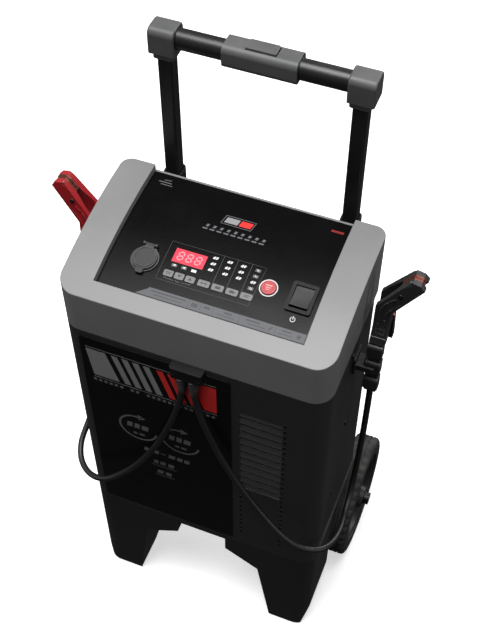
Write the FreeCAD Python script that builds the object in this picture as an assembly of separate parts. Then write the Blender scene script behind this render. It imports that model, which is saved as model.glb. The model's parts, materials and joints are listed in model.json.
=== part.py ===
import FreeCAD, Part
import math
import os

# Wheeled car battery charger with a telescoping handle.
# Millimetres. x: to the charger's right, y: to the back, z: up. The origin is on
# the floor, under the middle of the machine. Depths named "from_front" or given
# to at() are measured backwards from the bezel's front face.

V = FreeCAD.Vector
X, Y, Z = V(1, 0, 0), V(0, 1, 0), V(0, 0, 1)

# ---- driving dimensions ----------------------------------------------------
# body
body_width = 360.0            # outside of the two body shells
body_depth = 214.0
body_bottom = 220.0           # where the shells stand on the base
bezel_bottom = 634.0          # where the bezel sits on the shells
front_corner = 26.0           # plan radius of the two front corners
rear_corner = 16.0
shell_wall = 3.0
split_top = 84.0              # the side seam: far back at the top ...
split_waist = 98.0
split_low = 30.0              # ... and swept forward above the wheels
split_bottom = 22.0
split_waist_height = 392.0
split_low_height = 296.0
seam_overlap = 8.0
vent_rows = 8
low_vent_rows = 6
low_vent_height = 290.0
low_vent_pitch = 11.0
low_vent_left = -95.0
low_vent_right = -25.0
vent_slot = 4.4

# bezel and control panel
bezel_front_height = 68.6     # crown of the bezel above its lower edge, in front
bezel_mid_height = 96.3       # half way back
bezel_back_height = 103.2     # at the back
bezel_wall = 3.2
panel_width = 272.6           # control panel opening
panel_front = 24.6            # its front edge, from the bezel's front face
panel_recess = 9.6            # how far the panel lies below the bezel's crown
panel_thickness = 3.0
panel_ledge = 4.0
panel_gap = 0.15
ledge_thickness = 2.5
lip_height = 0.9              # back lip above the panel

# running gear
wheel_radius = 101.0
wheel_width = 40.0
wheel_proud = 21.6            # how far a wheel's outer face stands out past the body's side
tyre_shoulder = 7.0
rim_radius = 74.0
rim_lip = 4.0
rim_disc = 5.0                # half thickness of the spoked disc
hub_proud = 2.0               # how far the hub stands out of the wheel's faces
hub_wall = 9.0
spoke_windows = 6
spoke_thickness = 18.0        # between two windows' rounds and the hub and rim
axle_from_front = 209.0
axle_radius = 6.0
axle_fit = 0.1
running_clearance = 0.05
bush_wall = 3.0
washer_gap = 0.3
washer_thickness = 1.5
washer_rim = 6.0
cap_nut_length = 5.0
cap_nut_end = 2.0
cap_nut_wall = 4.0

# base and legs
base_skirt = 10.0             # how far the base shows below the shells
base_wall = 4.0
leg_foot_inset = 12.0         # the leg's outline, inwards from the body's side: at the floor ...
leg_foot_width = 53.7
leg_bend_inset = 2.0          # ... at the bend above it ...
leg_bend_height = 52.0
leg_knee_inset = 87.3         # ... at the inner knee, where the leg meets the haunch ...
leg_knee_height = 148.0
haunch_inset = 140.4          # ... and at the haunch's inner end
haunch_height = 180.0
leg_depth_top = 100.0
leg_depth_foot = 58.0
pad_thickness = 4.0
pad_inset = 3.0
pad_corner = 8.0
lug_thickness = 12.0
lug_spacing = 46.0
lug_rim = 14.0
lug_gusset = 20.0

# leads and their exits
hood_depth = 13.0             # strain relief hood over the two lead exits
hood_width = 44.0
hood_height = 20.0
hood_x = -2.5
hood_top_gap = 0.5
hood_screw_sink = 2.0
hood_screw_edge = 4.0
hood_screw_head = 3.0
lead_spacing = 16.0
lead_diameter = 9.0
lead_drop = 6.0               # the glands' stubs below the hood
gland_wall = 1.2

# handle
post_half_spacing = 123.1
post_width = 19.2
post_depth = 19.2
post_wall = 1.6
post_from_front = 242.0
post_radius = 2.5
post_length_in_sleeve = 150.0
sleeve_gap = 0.4
sleeve_wall = 2.6
sleeve_top = 709.0
sleeve_bottom = 300.0
bracket_heights = (330.0, 500.0)
bracket_height = 28.0
bracket_width = 60.0
bracket_plate = 4.0
bracket_screw_spacing = 48.0
crossbar_radius = 13.0
crossbar_wall = 2.0
crossbar_height = 925.0
cap_width = 34.0
cap_depth = 33.0
cap_above = 16.0              # of the corner cap over the bar's axis
cap_below = 27.0
cap_shell_above_collar = 8.0
cap_collar = 4.0
cap_collar_height = 20.0
grip_length = 93.0
grip_depth = 33.0
grip_height = 31.0
button_travel = 4.0
button_half_length = 19.0
button_half_depth = 9.0
button_rise = 2.6
button_gap = 0.4
yoke_radius = 2.5
latch_pin_radius = 3.5
latch_pin_above = 26.0        # the latch pins' axis above the posts' lower ends
latch_travel = 3.0

# front of the body
grille_left = 64.8
grille_right = 123.3
grille_low = 381.0
grille_high = 566.5
grille_margin = 6.0
grille_depth = 9.0
grille_gap = 0.3
grille_flange = 5.0
louvre_count = 12
label_left = -155.7
label_right = 53.1
label_low = 227.0
label_high = 624.0
label_thickness = 1.0
label_corner = 6.0
label_gap = 1.0

# what the control panel carries
key_depth = 8.6
key_clearance = 0.25
key_travel = 0.8
key_rise = 1.2
key_corner = 1.6
key_flange = 1.0              # thickness of the flange that keeps a key in
key_flange_side = 0.6
key_flange_end = 1.6
key_flange_gap = 0.2
key_from_front = 66.5
# name, middle x, width
key_row = [
    ("key_1", -54.5, 12.4), ("key_2", -40.1, 12.4), ("key_3", -25.7, 12.4),
    ("key_4", -7.7, 15.2), ("key_5", 10.6, 15.2), ("key_6", 29.3, 15.2), ("key_7", 48.0, 15.2),
]
start_radius = 9.6
start_rise = 2.2
start_flange = 2.0
start_travel = 1.5
start_place = (69.2, 86.0)
display_place = (-37.8, 93.8)
display_size = (41.4, 20.2)
display_border = 3.0
window_thickness = 1.6
window_sink = 0.4
module_thickness = 8.0
# middle x and number of lights in each column; all columns start at one depth
light_columns = [(-7.0, 3), (12.0, 3), (29.8, 3), (48.8, 4)]
light_from_front = 104.5
light_pitch = 8.7
light_row = [(-52.0, 79.0), (-39.0, 79.0), (-26.0, 79.0)]
light_length = 6.4
light_width = 3.6
light_rise = 0.3
outlet_place = (-90.0, 75.6)
outlet_bore = 10.5            # 12 volt accessory socket
outlet_depth = 38.0
outlet_wall = 2.5
outlet_bottom = 3.0
outlet_flange = 18.0
outlet_flange_thickness = 2.0
outlet_hinge_z = 3.8
outlet_pin_radius = 1.0
outlet_ear = 3.0
outlet_ear_inside = 6.5
outlet_ear_radius = 2.4
outlet_cap_thickness = 2.6
outlet_tab = 10.0
contact_radius = 2.6
contact_length = 8.0
cap_gap = 0.4
switch_place = (112.3, 84.8)
switch_width = 32.8
switch_length = 41.0
switch_wall = 3.6
switch_rim = 3.0
switch_body_depth = 24.0
switch_floor = 4.0
rocker_gap = 0.4
rocker_tilt = 8.0
rocker_pin_z = -6.0
rocker_pin_radius = 1.5

# back of the body and what is inside
fan_size = 92.0
fan_thickness = 25.0
fan_height = 500.0
fan_x = 60.0
fan_blades = 7
fan_blade_twist = 38.0
fan_hub = 16.0
fan_shaft_radius = 2.5
strut_width = 6.0
strut_thickness = 3.0
inlet_x = 110.0
inlet_z = 262.0
inlet_radius = 9.0
inlet_cord_radius = 5.0
inlet_flange = 4.0
core_left = -70.0             # the transformer's iron core
core_right = 50.0
core_front = 60.0
core_back = 150.0
core_lift = 10.0
core_height = 90.0
core_limb = 34.0
core_window = 20.0
core_yoke = 18.0
winding_overhang = 14.0
winding_gap = 0.5
power_board_inset = 30.0      # from the body's left side
board_thickness = 1.6
power_board_front = 30.0
power_board_back = 180.0
power_board_low = 250.0
power_board_high = 560.0
capacitor_radius = 15.0
capacitor_length = 42.0
relay_size = (22.0, 30.0, 28.0)
choke_radius = 24.0
choke_hole = 10.0
choke_thickness = 26.0
post_diameter = 8.0           # the round posts that carry the power board
sink_left = -60.0
sink_right = 140.0
sink_low = 330.0
sink_high = 430.0
sink_front = 150.0
sink_back = 191.0
sink_plate = 6.0
fin_thickness = 2.5
fin_pitch = 12.0
rectifier_size = 28.0
rectifier_thickness = 6.0
foot_size = 12.0
control_board_drop = 14.0
control_board_left = -100.0
control_board_right = 80.0
control_board_front = 52.0
control_board_back = 118.0
control_post_radius = 3.0
control_post_edge = 4.0
key_switch_size = 6.0
start_switch_size = 12.0
terminal_half_width = 26.0
terminal_front = 18.0
terminal_back = 40.0
terminal_low = 560.0
terminal_high = 600.0
bus_bar_width = 14.0
bus_bar_thickness = 2.0
bus_bar_low = 450.0
bus_bar_step = 40.0

# clamps; heights are above the bezel's lower edge unless named below
clamp_beside = 23.0           # the clamp's middle, outwards from the body's side
clamp_from_front = 148.0
clamp_half_width = 10.5
clamp_pivot_above = 25.0
clamp_pin_radius = 3.0
clamp_bend_above = 48.0
clamp_tip_above = 100.0
clamp_tip_out = 35.0
clamp_tip_depth = 12.0        # how far the jaws' ends reach past the tip's middle
clamp_ear = 3.5
clamp_ear_gap = 0.3
clamp_ear_radius = 8.5
clamp_turn_gap = 1.2
spring_wire = 2.2
spring_gap = 0.4
jaw_thickness = 4.0
jaw_tooth = 1.4
jaw_tooth_pitch = 5.0
jaw_teeth = 4
rear_grip_below = 44.0
boot_top_below = 8.0          # of the front handle's ribbed boot
boot_bottom_below = 110.0
boot_from_clamp = 20.5        # the boot's axis in front of the clamp's middle
boot_shift = 1.0
boot_core = 16.0
boot_core_depth = 11.0
boot_rib = 20.0
boot_rib_depth = 14.5
boot_ribs = 3
holder_below = 54.0
holder_height = 10.0
holder_plate = 4.0
holder_plate_height = 30.0

# screws
screw_radius = 2.0
screw_clearance = 0.2
screw_head = 4.0
screw_head_thickness = 1.8
side_screw_length = 8.0
bracket_screw_length = 12.0
base_screw_length = 10.0

# Routes of the two output leads, from the hood round a front corner to the clamp:
# x, depth behind the bezel's front face (negative is in front of it), height
# below the bezel's lower edge.
right_route = [
    (5.5, -6.5, 26), (5.5, -6.5, 54), (13, -9, 90), (27, -11, 131.5), (44, -12.5, 176.5),
    (66.5, -14, 221), (92.5, -16.5, 261), (119.5, -19.5, 294), (146.5, -22.5, 318.5),
    (175, -18.5, 333), (196.5, -0.5, 343.5), (204, 26, 354.5), (204, 53, 367), (201, 82.5, 370.5),
    (199, 110, 357.5), (198, 127.5, 330.5), (199, 129, 294.5), (200.5, 129, 254),
    (201.5, 127.5, 208.5), (202, 127.5, 158.5), (202, 127.5, 110),
]
left_route = [
    (-10.5, -6.5, 26), (-10.5, -6.5, 54), (-18, -9, 92), (-31, -11, 135), (-47, -12.5, 180.5),
    (-66.5, -14, 224.5), (-88.5, -17, 264), (-113, -20, 296.5), (-138, -25, 321),
    (-167, -20.5, 332), (-191, -3, 333), (-204, 23, 326), (-203, 51, 310.5), (-202, 79, 289.5),
    (-200, 102.5, 260.5), (-200, 117.5, 225.5), (-201.5, 125, 188), (-202, 127.5, 148),
    (-202, 127.5, 110),
]

# ---- derived places ----------------------------------------------------------
half_width = body_width / 2
wheel_outer = half_width + wheel_proud
leg_foot_out = half_width - leg_foot_inset
leg_foot_in = leg_foot_out - leg_foot_width
leg_bend_out = half_width - leg_bend_inset
leg_knee_in = half_width - leg_knee_inset
haunch_in = half_width - haunch_inset
power_board_x = power_board_inset - half_width
clamp_x = half_width + clamp_beside
front = -(axle_from_front + wheel_radius - hood_depth) / 2   # the bezel's front face
back = front + body_depth
axle_y = front + axle_from_front
axle_z = wheel_radius
post_y = front + post_from_front
base_low = body_bottom - base_skirt
hub_length = wheel_width + 2 * hub_proud
wheel_inner = wheel_outer - wheel_width
lug_outer = wheel_outer - hub_length - hub_proud
lead_radius = lead_diameter / 2
lead_exit_z = bezel_bottom - hood_height / 2
lead_exits = (hood_x - lead_spacing / 2, hood_x + lead_spacing / 2)
lead_y = front - hood_depth / 2
gland_low = bezel_bottom - hood_height - lead_drop
side_skin = half_width - shell_wall
inner_back = back - 2 * shell_wall
inner_side = -half_width + 2 * shell_wall
post_low = sleeve_top - post_length_in_sleeve
cap_low = crossbar_height - cap_below
latch_z = post_low + latch_pin_above
outlet_hinge_y = outlet_flange + 2.0
clamp_y = front + clamp_from_front
boot_x = clamp_x - boot_shift
boot_y = clamp_y - boot_from_clamp
screw_hole = screw_radius + screw_clearance

nodes = {}


def at(depth):
    """y of a place that lies so far behind the bezel's front face"""
    return front + depth


# ---- shape helpers ------------------------------------------------------------
def block(x0, x1, y0, y1, z0, z1):
    return Part.makeBox(x1 - x0, y1 - y0, z1 - z0, V(x0, y0, z0))


def rod(start, direction, length, radius):
    return Part.makeCylinder(radius, length, start, direction)


def ring(start, direction, length, outer, inner):
    return rod(start, direction, length, outer).cut(rod(start, direction, length, inner))


def prism(points, travel):
    """straight-sided outline, pushed along a vector"""
    wire = Part.makePolygon([V(*p) for p in points] + [V(*points[0])])
    return Part.Face(wire).extrude(travel)


def fillet_along(shape, radius, direction, keep=lambda edge: True):
    """round the straight edges that run along a direction"""
    edges = []
    for edge in shape.Edges:
        if edge.Curve.TypeId != "Part::GeomLine":
            continue
        along = edge.Curve.Direction
        if abs(abs(along.dot(direction)) - 1) < 1e-6 and keep(edge):
            edges.append(edge)
    return shape.makeFillet(radius, edges)


def plan(inset, z0, z1, width=None):
    """the machine's plan outline, inset all round, as an upright prism"""
    hw = (width or body_width) / 2 - inset
    solid = block(-hw, hw, front + inset, back - inset, z0, z1)
    middle = (front + back) / 2
    solid = fillet_along(solid, front_corner - inset, Z, lambda e: e.CenterOfMass.y < middle)
    return fillet_along(solid, rear_corner - inset, Z, lambda e: e.CenterOfMass.y > middle)


def fused(shapes):
    whole = shapes[0]
    for shape in shapes[1:]:
        whole = whole.fuse(shape)
    return whole.removeSplitter()


def group(shapes):
    return Part.makeCompound(shapes)


def mirrored(shape):
    return shape.mirror(V(0, 0, 0), X)


def both_sides(shape):
    return group([shape, mirrored(shape)])


# ---- the crown: one arc from front to back, which the panel follows ------------
def crown_circle():
    circle = Part.Circle(
        V(0, front, bezel_bottom + bezel_front_height),
        V(0, (front + back) / 2, bezel_bottom + bezel_mid_height),
        V(0, back, bezel_bottom + bezel_back_height),
    )
    return circle.Center, circle.Radius


crown_centre, crown_radius = crown_circle()
panel_radius = crown_radius - panel_recess


def crown_z(y, radius):
    return crown_centre.z + math.sqrt(radius ** 2 - (y - crown_centre.y) ** 2)


def under_crown(radius, x0, x1, y0, y1, z0):
    """everything below an arc that runs parallel to the crown"""
    ends = [V(x0, y, crown_z(y, radius)) for y in (y0, (y0 + y1) / 2, y1)]
    edges = [
        Part.Arc(*ends).toShape(),
        Part.makeLine(ends[2], V(x0, y1, z0)),
        Part.makeLine(V(x0, y1, z0), V(x0, y0, z0)),
        Part.makeLine(V(x0, y0, z0), ends[0]),
    ]
    return Part.Face(Part.Wire(edges)).extrude(V(x1 - x0, 0, 0))


def panel_frame(x, depth):
    """placement whose z points out of the control panel at one of its points"""
    y = at(depth)
    z = crown_z(y, panel_radius)
    slope = math.atan2(crown_centre.y - y, z - crown_centre.z)
    return FreeCAD.Placement(V(x, y, z), FreeCAD.Rotation(X, math.degrees(slope)))


def on_panel(shape, x, depth):
    placed = shape.copy()
    placed.Placement = panel_frame(x, depth)
    return placed


base_screw_places = [(x, at(depth)) for x in (-120, 120) for depth in (125, 195)]
base_screw_places += [(x, at(12)) for x in (-20, 20)]


# ---- base, legs, wheels ---------------------------------------------------------
def leg_outline(inset):
    return [
        (haunch_in + inset, front + inset, body_bottom + 1),
        (haunch_in + inset, front + inset, haunch_height + inset),
        (leg_knee_in + inset, front + inset, leg_knee_height + inset),
        (leg_foot_in + inset, front + inset, pad_thickness + inset),
        (leg_foot_out - inset, front + inset, pad_thickness + inset),
        (leg_bend_out - inset, front + inset, leg_bend_height),
        (half_width - inset, front + inset, base_low),
        (half_width - inset, front + inset, body_bottom + 1),
    ]


def leg_side(inset):
    """the leg seen from the side: deep at the top, drawn in towards the foot"""
    depth = leg_depth_top - inset
    outline = [
        (0, front + inset, pad_thickness + inset),
        (0, at(leg_depth_foot - inset), pad_thickness + inset),
        (0, at(depth), leg_bend_height + inset),
        (0, at(depth), body_bottom + 1),
        (0, front + inset, body_bottom + 1),
    ]
    return prism(outline, V(half_width, 0, 0))


def leg_solid(inset):
    outline = prism(leg_outline(inset), V(0, leg_depth_top, 0))
    rounded = plan(inset, 0, body_bottom + 1)
    return outline.common(leg_side(inset)).common(rounded)


def make_base():
    tray = plan(0, base_low, body_bottom).cut(plan(base_wall, base_low + base_wall, body_bottom))
    right_leg = leg_solid(0)
    legs = right_leg.fuse(mirrored(right_leg))
    top_cut = block(-half_width - 1, half_width + 1, front - 1, back + 1, body_bottom, body_bottom + 5)
    legs = legs.cut(top_cut)
    inner = leg_solid(base_wall)
    hollows = inner.fuse(mirrored(inner))
    whole = tray.fuse(legs).cut(hollows)
    # two pairs of lugs carry the axle
    half = axle_radius + lug_rim
    for high in (lug_outer, lug_outer - lug_spacing):
        low = high - lug_thickness
        lug = block(low, high, axle_y - half - lug_gusset, min(axle_y + half, back), axle_z,
                    base_low + base_wall)
        nose = rod(V(low, axle_y, axle_z), X, lug_thickness, half)
        nose = nose.common(block(low, high, axle_y - half, back, axle_z - half, axle_z + half))
        lug = lug.fuse(nose)
        whole = whole.fuse(lug).fuse(mirrored(lug))
    bore = rod(V(-half_width, axle_y, axle_z), X, body_width, axle_radius + axle_fit)
    whole = whole.cut(bore)
    sockets = [rod(V(x, y, base_low - 1), Z, base_wall + 2, screw_hole) for x, y in base_screw_places]
    return whole.cut(group(sockets)).removeSplitter()



def make_foot_pads():
    pad = block(leg_foot_in + pad_inset, leg_foot_out - pad_inset, at(pad_corner),
                at(leg_depth_foot - pad_inset), 0, pad_thickness)
    pad = fillet_along(pad, pad_corner, Z)
    return both_sides(pad)


def turned(profile, origin):
    """revolve an (axial, radius) outline about the axle line"""
    pts = [V(origin + a, axle_y, axle_z + r) for a, r in profile]
    face = Part.Face(Part.makePolygon(pts + [pts[0]]))
    return face.revolve(V(origin, axle_y, axle_z), X, 360)


def make_tyre():
    shoulder = tyre_shoulder
    drop = shoulder * 0.3
    bead = rim_radius + shoulder
    outline = [
        (0, bead), (0, wheel_radius - shoulder), (shoulder / 2, wheel_radius - drop),
        (shoulder, wheel_radius), (wheel_width - shoulder, wheel_radius),
        (wheel_width - shoulder / 2, wheel_radius - drop), (wheel_width, wheel_radius - shoulder),
        (wheel_width, bead), (wheel_width - rim_lip, rim_radius), (rim_lip, rim_radius),
    ]
    return turned(outline, wheel_inner)


def make_rim():
    bore = axle_radius + running_clearance + bush_wall
    hub_radius = bore + hub_wall
    middle = wheel_width / 2
    inner_rim = rim_radius - rim_lip
    outline = [
        (-hub_proud, bore), (-hub_proud, hub_radius), (middle - rim_disc, hub_radius + 3),
        (middle - rim_disc, inner_rim - 2), (rim_lip, inner_rim), (rim_lip, rim_radius),
        (wheel_width - rim_lip, rim_radius), (wheel_width - rim_lip, inner_rim),
        (middle + rim_disc, inner_rim - 2), (middle + rim_disc, hub_radius + 3),
        (wheel_width + hub_proud, hub_radius), (wheel_width + hub_proud, bore),
    ]
    rim = turned(outline, wheel_inner)
    reach = (hub_radius + rim_radius) / 2
    window_radius = (rim_radius - hub_radius - spoke_thickness) / 2
    windows = []
    for k in range(spoke_windows):
        angle = 2 * math.pi * (k + 0.5) / spoke_windows
        centre = V(wheel_inner, axle_y + reach * math.cos(angle), axle_z + reach * math.sin(angle))
        windows.append(rod(centre, X, wheel_width, window_radius))
    return rim.cut(group(windows))


def make_bush():
    start = V(wheel_inner - hub_proud, axle_y, axle_z)
    inner = axle_radius + running_clearance
    return ring(start, X, hub_length, inner + bush_wall, inner)


def make_wheels():
    for side, flip in (("right", lambda s: s), ("left", mirrored)):
        nodes["tyre_" + side] = flip(make_tyre())
        nodes["wheel_rim_" + side] = flip(group([make_rim(), make_bush()]))


def make_axle():
    half = wheel_outer + hub_proud + washer_gap + washer_thickness + cap_nut_length
    return rod(V(-half, axle_y, axle_z), X, 2 * half, axle_radius)


def make_axle_washers():
    outer_x = wheel_outer + hub_proud + washer_gap
    inner_x = wheel_inner - hub_proud - washer_gap - washer_thickness
    washers = []
    for x in (outer_x, inner_x):
        washers.append(ring(V(x, axle_y, axle_z), X, washer_thickness, axle_radius + washer_rim, axle_radius))
    return both_sides(group(washers))


def make_axle_caps():
    x = wheel_outer + hub_proud + washer_gap + washer_thickness
    cap = ring(V(x, axle_y, axle_z), X, cap_nut_length, axle_radius + cap_nut_wall, axle_radius)
    end = rod(V(x + cap_nut_length, axle_y, axle_z), X, cap_nut_end, axle_radius + cap_nut_wall)
    return both_sides(cap.fuse(end).removeSplitter())


# ---- body shells ------------------------------------------------------------------


def side_seam(shift, x0, x1):
    """everything in front of the seam between the two shells"""
    points = [
        (x0, front - 5, body_bottom - 5), (x0, at(split_bottom + shift), body_bottom - 5),
        (x0, at(split_low + shift), split_low_height), (x0, at(split_waist + shift), split_waist_height),
        (x0, at(split_top + shift), bezel_bottom + 5), (x0, front - 5, bezel_bottom + 5),
    ]
    return prism(points, V(x1 - x0, 0, 0))


def shell_ring(inset):
    outer = plan(inset, body_bottom, bezel_bottom)
    return outer.cut(plan(inset + shell_wall, body_bottom - 1, bezel_bottom + 1))



def hood_screw_places():
    reach = hood_width / 2 - hood_screw_edge
    return [V(hood_x + side * reach, front - 1, lead_exit_z) for side in (-1, 1)]


def make_front_shell():
    shell = shell_ring(0).common(side_seam(0, -half_width - 1, half_width + 1))
    opening = block(grille_left, grille_right, front - 1, front + 20, grille_low, grille_high)
    exits = [rod(V(x, front - 1, lead_exit_z), Y, shell_wall + 2, lead_radius + 1.5) for x in lead_exits]
    screws = [rod(p, Y, shell_wall + 2, screw_hole) for p in hood_screw_places()]
    return shell.cut(group([opening] + exits + screws))



def side_screw_places():
    return [V(side_skin, at(112), 448), V(side_skin, at(112), 600), V(side_skin, at(72), 322)]


def bracket_screw_places():
    places = []
    for z in bracket_heights:
        for offset in (-bracket_screw_spacing / 2, bracket_screw_spacing / 2):
            places.append(V(post_half_spacing + offset, back - shell_wall, z))
    return places + [V(-p.x, p.y, p.z) for p in places]


def make_rear_shell():
    """the back shell, which tucks behind the front one along the side seam"""
    shell = shell_ring(shell_wall).cut(side_seam(-seam_overlap, -half_width - 1, half_width + 1))
    # the fan's vent is a round field of slots
    cuts = []
    field = fan_size / 2 - 5
    for k in range(vent_rows):
        z = fan_height - field + 5 + k * 2 * (field - 5) / (vent_rows - 1)
        half = math.sqrt(max(field ** 2 - (z - fan_height) ** 2, 100))
        cuts.append(block(fan_x - half, fan_x + half, inner_back - 1, back + 1,
                          z - vent_slot / 2, z + vent_slot / 2))
    for k in range(low_vent_rows):
        z = low_vent_height + low_vent_pitch * k
        cuts.append(block(low_vent_left, low_vent_right, inner_back - 1, back + 1, z, z + vent_slot))
    cuts.append(rod(V(inlet_x, inner_back - 1, inlet_z), Y, 3 * shell_wall, inlet_radius))
    for p in side_screw_places():
        cuts.append(rod(p - X * 10, X, 20, screw_hole))
        cuts.append(rod(V(-p.x - 10, p.y, p.z), X, 20, screw_hole))
    for p in bracket_screw_places():
        cuts.append(rod(p - Y * 12, Y, 24, screw_hole))
    return shell.cut(group(cuts))


def sleeve_half_sizes():
    grown = sleeve_gap + sleeve_wall
    return post_width / 2 + grown, post_depth / 2 + grown


def make_sleeve_brackets():
    """saddles that hold the two handle sleeves off the back of the body"""
    half_w, half_d = sleeve_half_sizes()
    x, y0 = post_half_spacing, back - shell_wall
    saddles = []
    for z in bracket_heights:
        low, high = z - bracket_height / 2, z + bracket_height / 2
        plate = block(x - bracket_width / 2, x + bracket_width / 2, y0, y0 + bracket_plate, low, high)
        clasp = block(x - half_w - bracket_plate, x + half_w + bracket_plate,
                      y0, post_y + half_d + bracket_plate, low, high)
        way = block(x - half_w, x + half_w, post_y - half_d, post_y + half_d, low - 1, high + 1)
        way = fillet_along(way, post_radius + sleeve_gap + sleeve_wall, Z)
        saddle = plate.fuse(clasp).cut(way)
        for offset in (-bracket_screw_spacing / 2, bracket_screw_spacing / 2):
            saddle = saddle.cut(rod(V(x + offset, y0 - 1, z), Y, 2 * bracket_plate, screw_hole))
        saddles.append(saddle.removeSplitter())
    return both_sides(group(saddles))


def pan_screw(point, direction, length, head=screw_head, thickness=screw_head_thickness):
    """a pan head outside a face and a shank going in against the direction"""
    top = rod(point, direction, thickness, head)
    shank = rod(point - direction * length, direction, length, screw_radius)
    return top.fuse(shank).removeSplitter()


def make_side_screws():
    return both_sides(group([pan_screw(p, X, side_screw_length) for p in side_screw_places()]))


def make_bracket_screws():
    outside = Y * bracket_plate
    return group([pan_screw(p + outside, Y, bracket_screw_length) for p in bracket_screw_places()])


def make_base_screws():
    return group([pan_screw(V(x, y, base_low), -Z, base_screw_length) for x, y in base_screw_places])


def make_hood_screws():
    y = front - hood_depth + hood_screw_sink
    places = [V(p.x, y, p.z) for p in hood_screw_places()]
    length = hood_depth + shell_wall
    return group([pan_screw(p, -Y, length, hood_screw_head, hood_screw_sink * 0.7) for p in places])


def make_grille():
    x0, x1 = grille_left + grille_gap, grille_right - grille_gap
    z0, z1 = grille_low + grille_gap, grille_high - grille_gap
    in0, in1 = x0 + grille_margin, x1 - grille_margin
    rear = front + grille_depth
    frame = block(x0, x1, front, rear, z0, z1)
    frame = frame.cut(block(in0, in1, front - 1, rear + 1, z0 + grille_margin, z1 - grille_margin))
    flange = block(x0 - grille_flange, x1 + grille_flange, front + shell_wall, front + shell_wall + 2,
                   z0 - grille_flange, z1 + grille_flange)
    flange = flange.cut(block(x0 + 1, x1 - 1, front, rear, z0 + 1, z1 - 1))
    # each blade leans down towards the front
    pitch = (z1 - z0 - 2 * grille_margin) / louvre_count
    blades = []
    for k in range(louvre_count):
        low = z0 + grille_margin + k * pitch
        y0 = front + 0.8
        outline = [(in0 - 1, y0, low + pitch * 0.35), (in0 - 1, y0, low + pitch * 0.55),
                   (in0 - 1, rear, low + pitch * 0.95), (in0 - 1, rear, low + pitch * 0.75)]
        blades.append(prism(outline, V(in1 - in0 + 2, 0, 0)))
    return fused([frame, flange] + blades)


def make_label_panel():
    """printed panel on the front, notched round the hood and the leads"""
    plate = block(label_left, label_right, front - label_thickness, front, label_low, label_high)
    plate = fillet_along(plate, label_corner, Y)
    half = hood_width / 2 + label_gap
    notch = block(hood_x - half, hood_x + half, front - 5, front + 5, gland_low - label_gap, bezel_bottom)
    return plate.cut(notch)


def make_lead_hood():
    x0, x1 = hood_x - hood_width / 2, hood_x + hood_width / 2
    low = bezel_bottom - hood_height
    outside = front - hood_depth
    hood = block(x0, x1, outside, front, low, bezel_bottom - hood_top_gap)
    hood = fillet_along(hood, 4, Z, lambda e: e.CenterOfMass.y < front - 1)
    hood = hood.cut(block(x0 + 9, x1 - 9, outside + 2, front, low + 6, bezel_bottom - 3))
    for x in lead_exits:
        hood = hood.cut(rod(V(x, lead_y, low - 1), Z, 10, lead_radius + gland_wall))
    for p in hood_screw_places():
        start = V(p.x, outside - 1, p.z)
        hood = hood.cut(rod(start, Y, hood_depth + 2, screw_hole))
        hood = hood.cut(rod(start, Y, hood_screw_sink + 1, hood_screw_head + hood_screw_edge / 10))
    return hood


def make_lead_glands():
    """rubber sleeves that the two leads leave through, pointing down"""
    length = lead_drop + 8
    return group([rod(V(x, lead_y, gland_low), Z, length, lead_radius + gland_wall) for x in lead_exits])


# ---- bezel and control panel ---------------------------------------------------------
def make_bezel():
    half_panel = panel_width / 2
    z0 = bezel_bottom
    outer = under_crown(crown_radius, -half_width - 1, half_width + 1, front - 1, back + 1, z0)
    outer = outer.common(plan(0, z0 - 1, z0 + 2 * bezel_back_height))
    inner = under_crown(crown_radius - bezel_wall, -half_width, half_width, front + 1, back - 1, z0 - 1)
    inner = inner.common(plan(bezel_wall, z0 - 2, z0 + 2 * bezel_back_height))
    under = panel_radius - panel_thickness
    frame = under_crown(crown_radius, -half_panel - bezel_wall, half_panel + bezel_wall,
                        at(panel_front - bezel_wall), back, z0 + 20)
    frame = frame.cut(under_crown(under - ledge_thickness, -half_panel - 5, half_panel + 5,
                                  at(panel_front - 5), back + 1, z0))
    whole = outer.cut(inner).fuse(frame.common(outer))
    seat = block(-half_panel, half_panel, at(panel_front), back - bezel_wall, z0, z0 + 300)
    seat = seat.cut(under_crown(under, -half_panel - 1, half_panel + 1,
                                at(panel_front) - 1, back + 1, z0 - 1))
    window = block(-half_panel + panel_ledge, half_panel - panel_ledge,
                   at(panel_front + panel_ledge), back - bezel_wall - panel_ledge, z0 + 20, z0 + 300)
    over_lip = block(-half_panel, half_panel, back - bezel_wall - 1, back + 1, z0, z0 + 300)
    over_lip = over_lip.cut(under_crown(panel_radius + lip_height, -half_panel - 1, half_panel + 1,
                                        at(panel_front), back + 2, z0 - 1))
    return whole.cut(group([seat])).cut(window).cut(over_lip).removeSplitter()



def light_places():
    places = list(light_row)
    for x, count in light_columns:
        places += [(x, light_from_front - k * light_pitch) for k in range(count)]
    return places



def light_shape(low, high):
    return block(-light_length / 2, light_length / 2, -light_width / 2, light_width / 2, low, high)


def make_lights():
    lens = light_shape(-panel_thickness, light_rise)
    return group([on_panel(lens, x, d) for x, d in light_places()])


def key_hole(width):
    w, d = width / 2 + key_clearance, key_depth / 2 + key_clearance
    return block(-w, w, -d, d, -2 * panel_thickness, panel_thickness)


def make_key(x, width):
    w, d = width / 2, key_depth / 2
    flange_top = -panel_thickness - key_flange_gap
    cap = fillet_along(block(-w, w, -d, d, flange_top, key_rise), key_corner, Z)
    flange = block(-w - key_flange_side, w + key_flange_side, -d - key_flange_end, d + key_flange_end,
                   flange_top - key_flange, flange_top)
    return on_panel(cap.fuse(flange).removeSplitter(), x, key_from_front)


def make_start_button():
    flange_top = -panel_thickness - key_flange_gap
    cap = rod(V(0, 0, flange_top), Z, start_rise - flange_top, start_radius)
    flange = rod(V(0, 0, flange_top - key_flange), Z, key_flange, start_radius + start_flange)
    return on_panel(cap.fuse(flange).removeSplitter(), *start_place)


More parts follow.
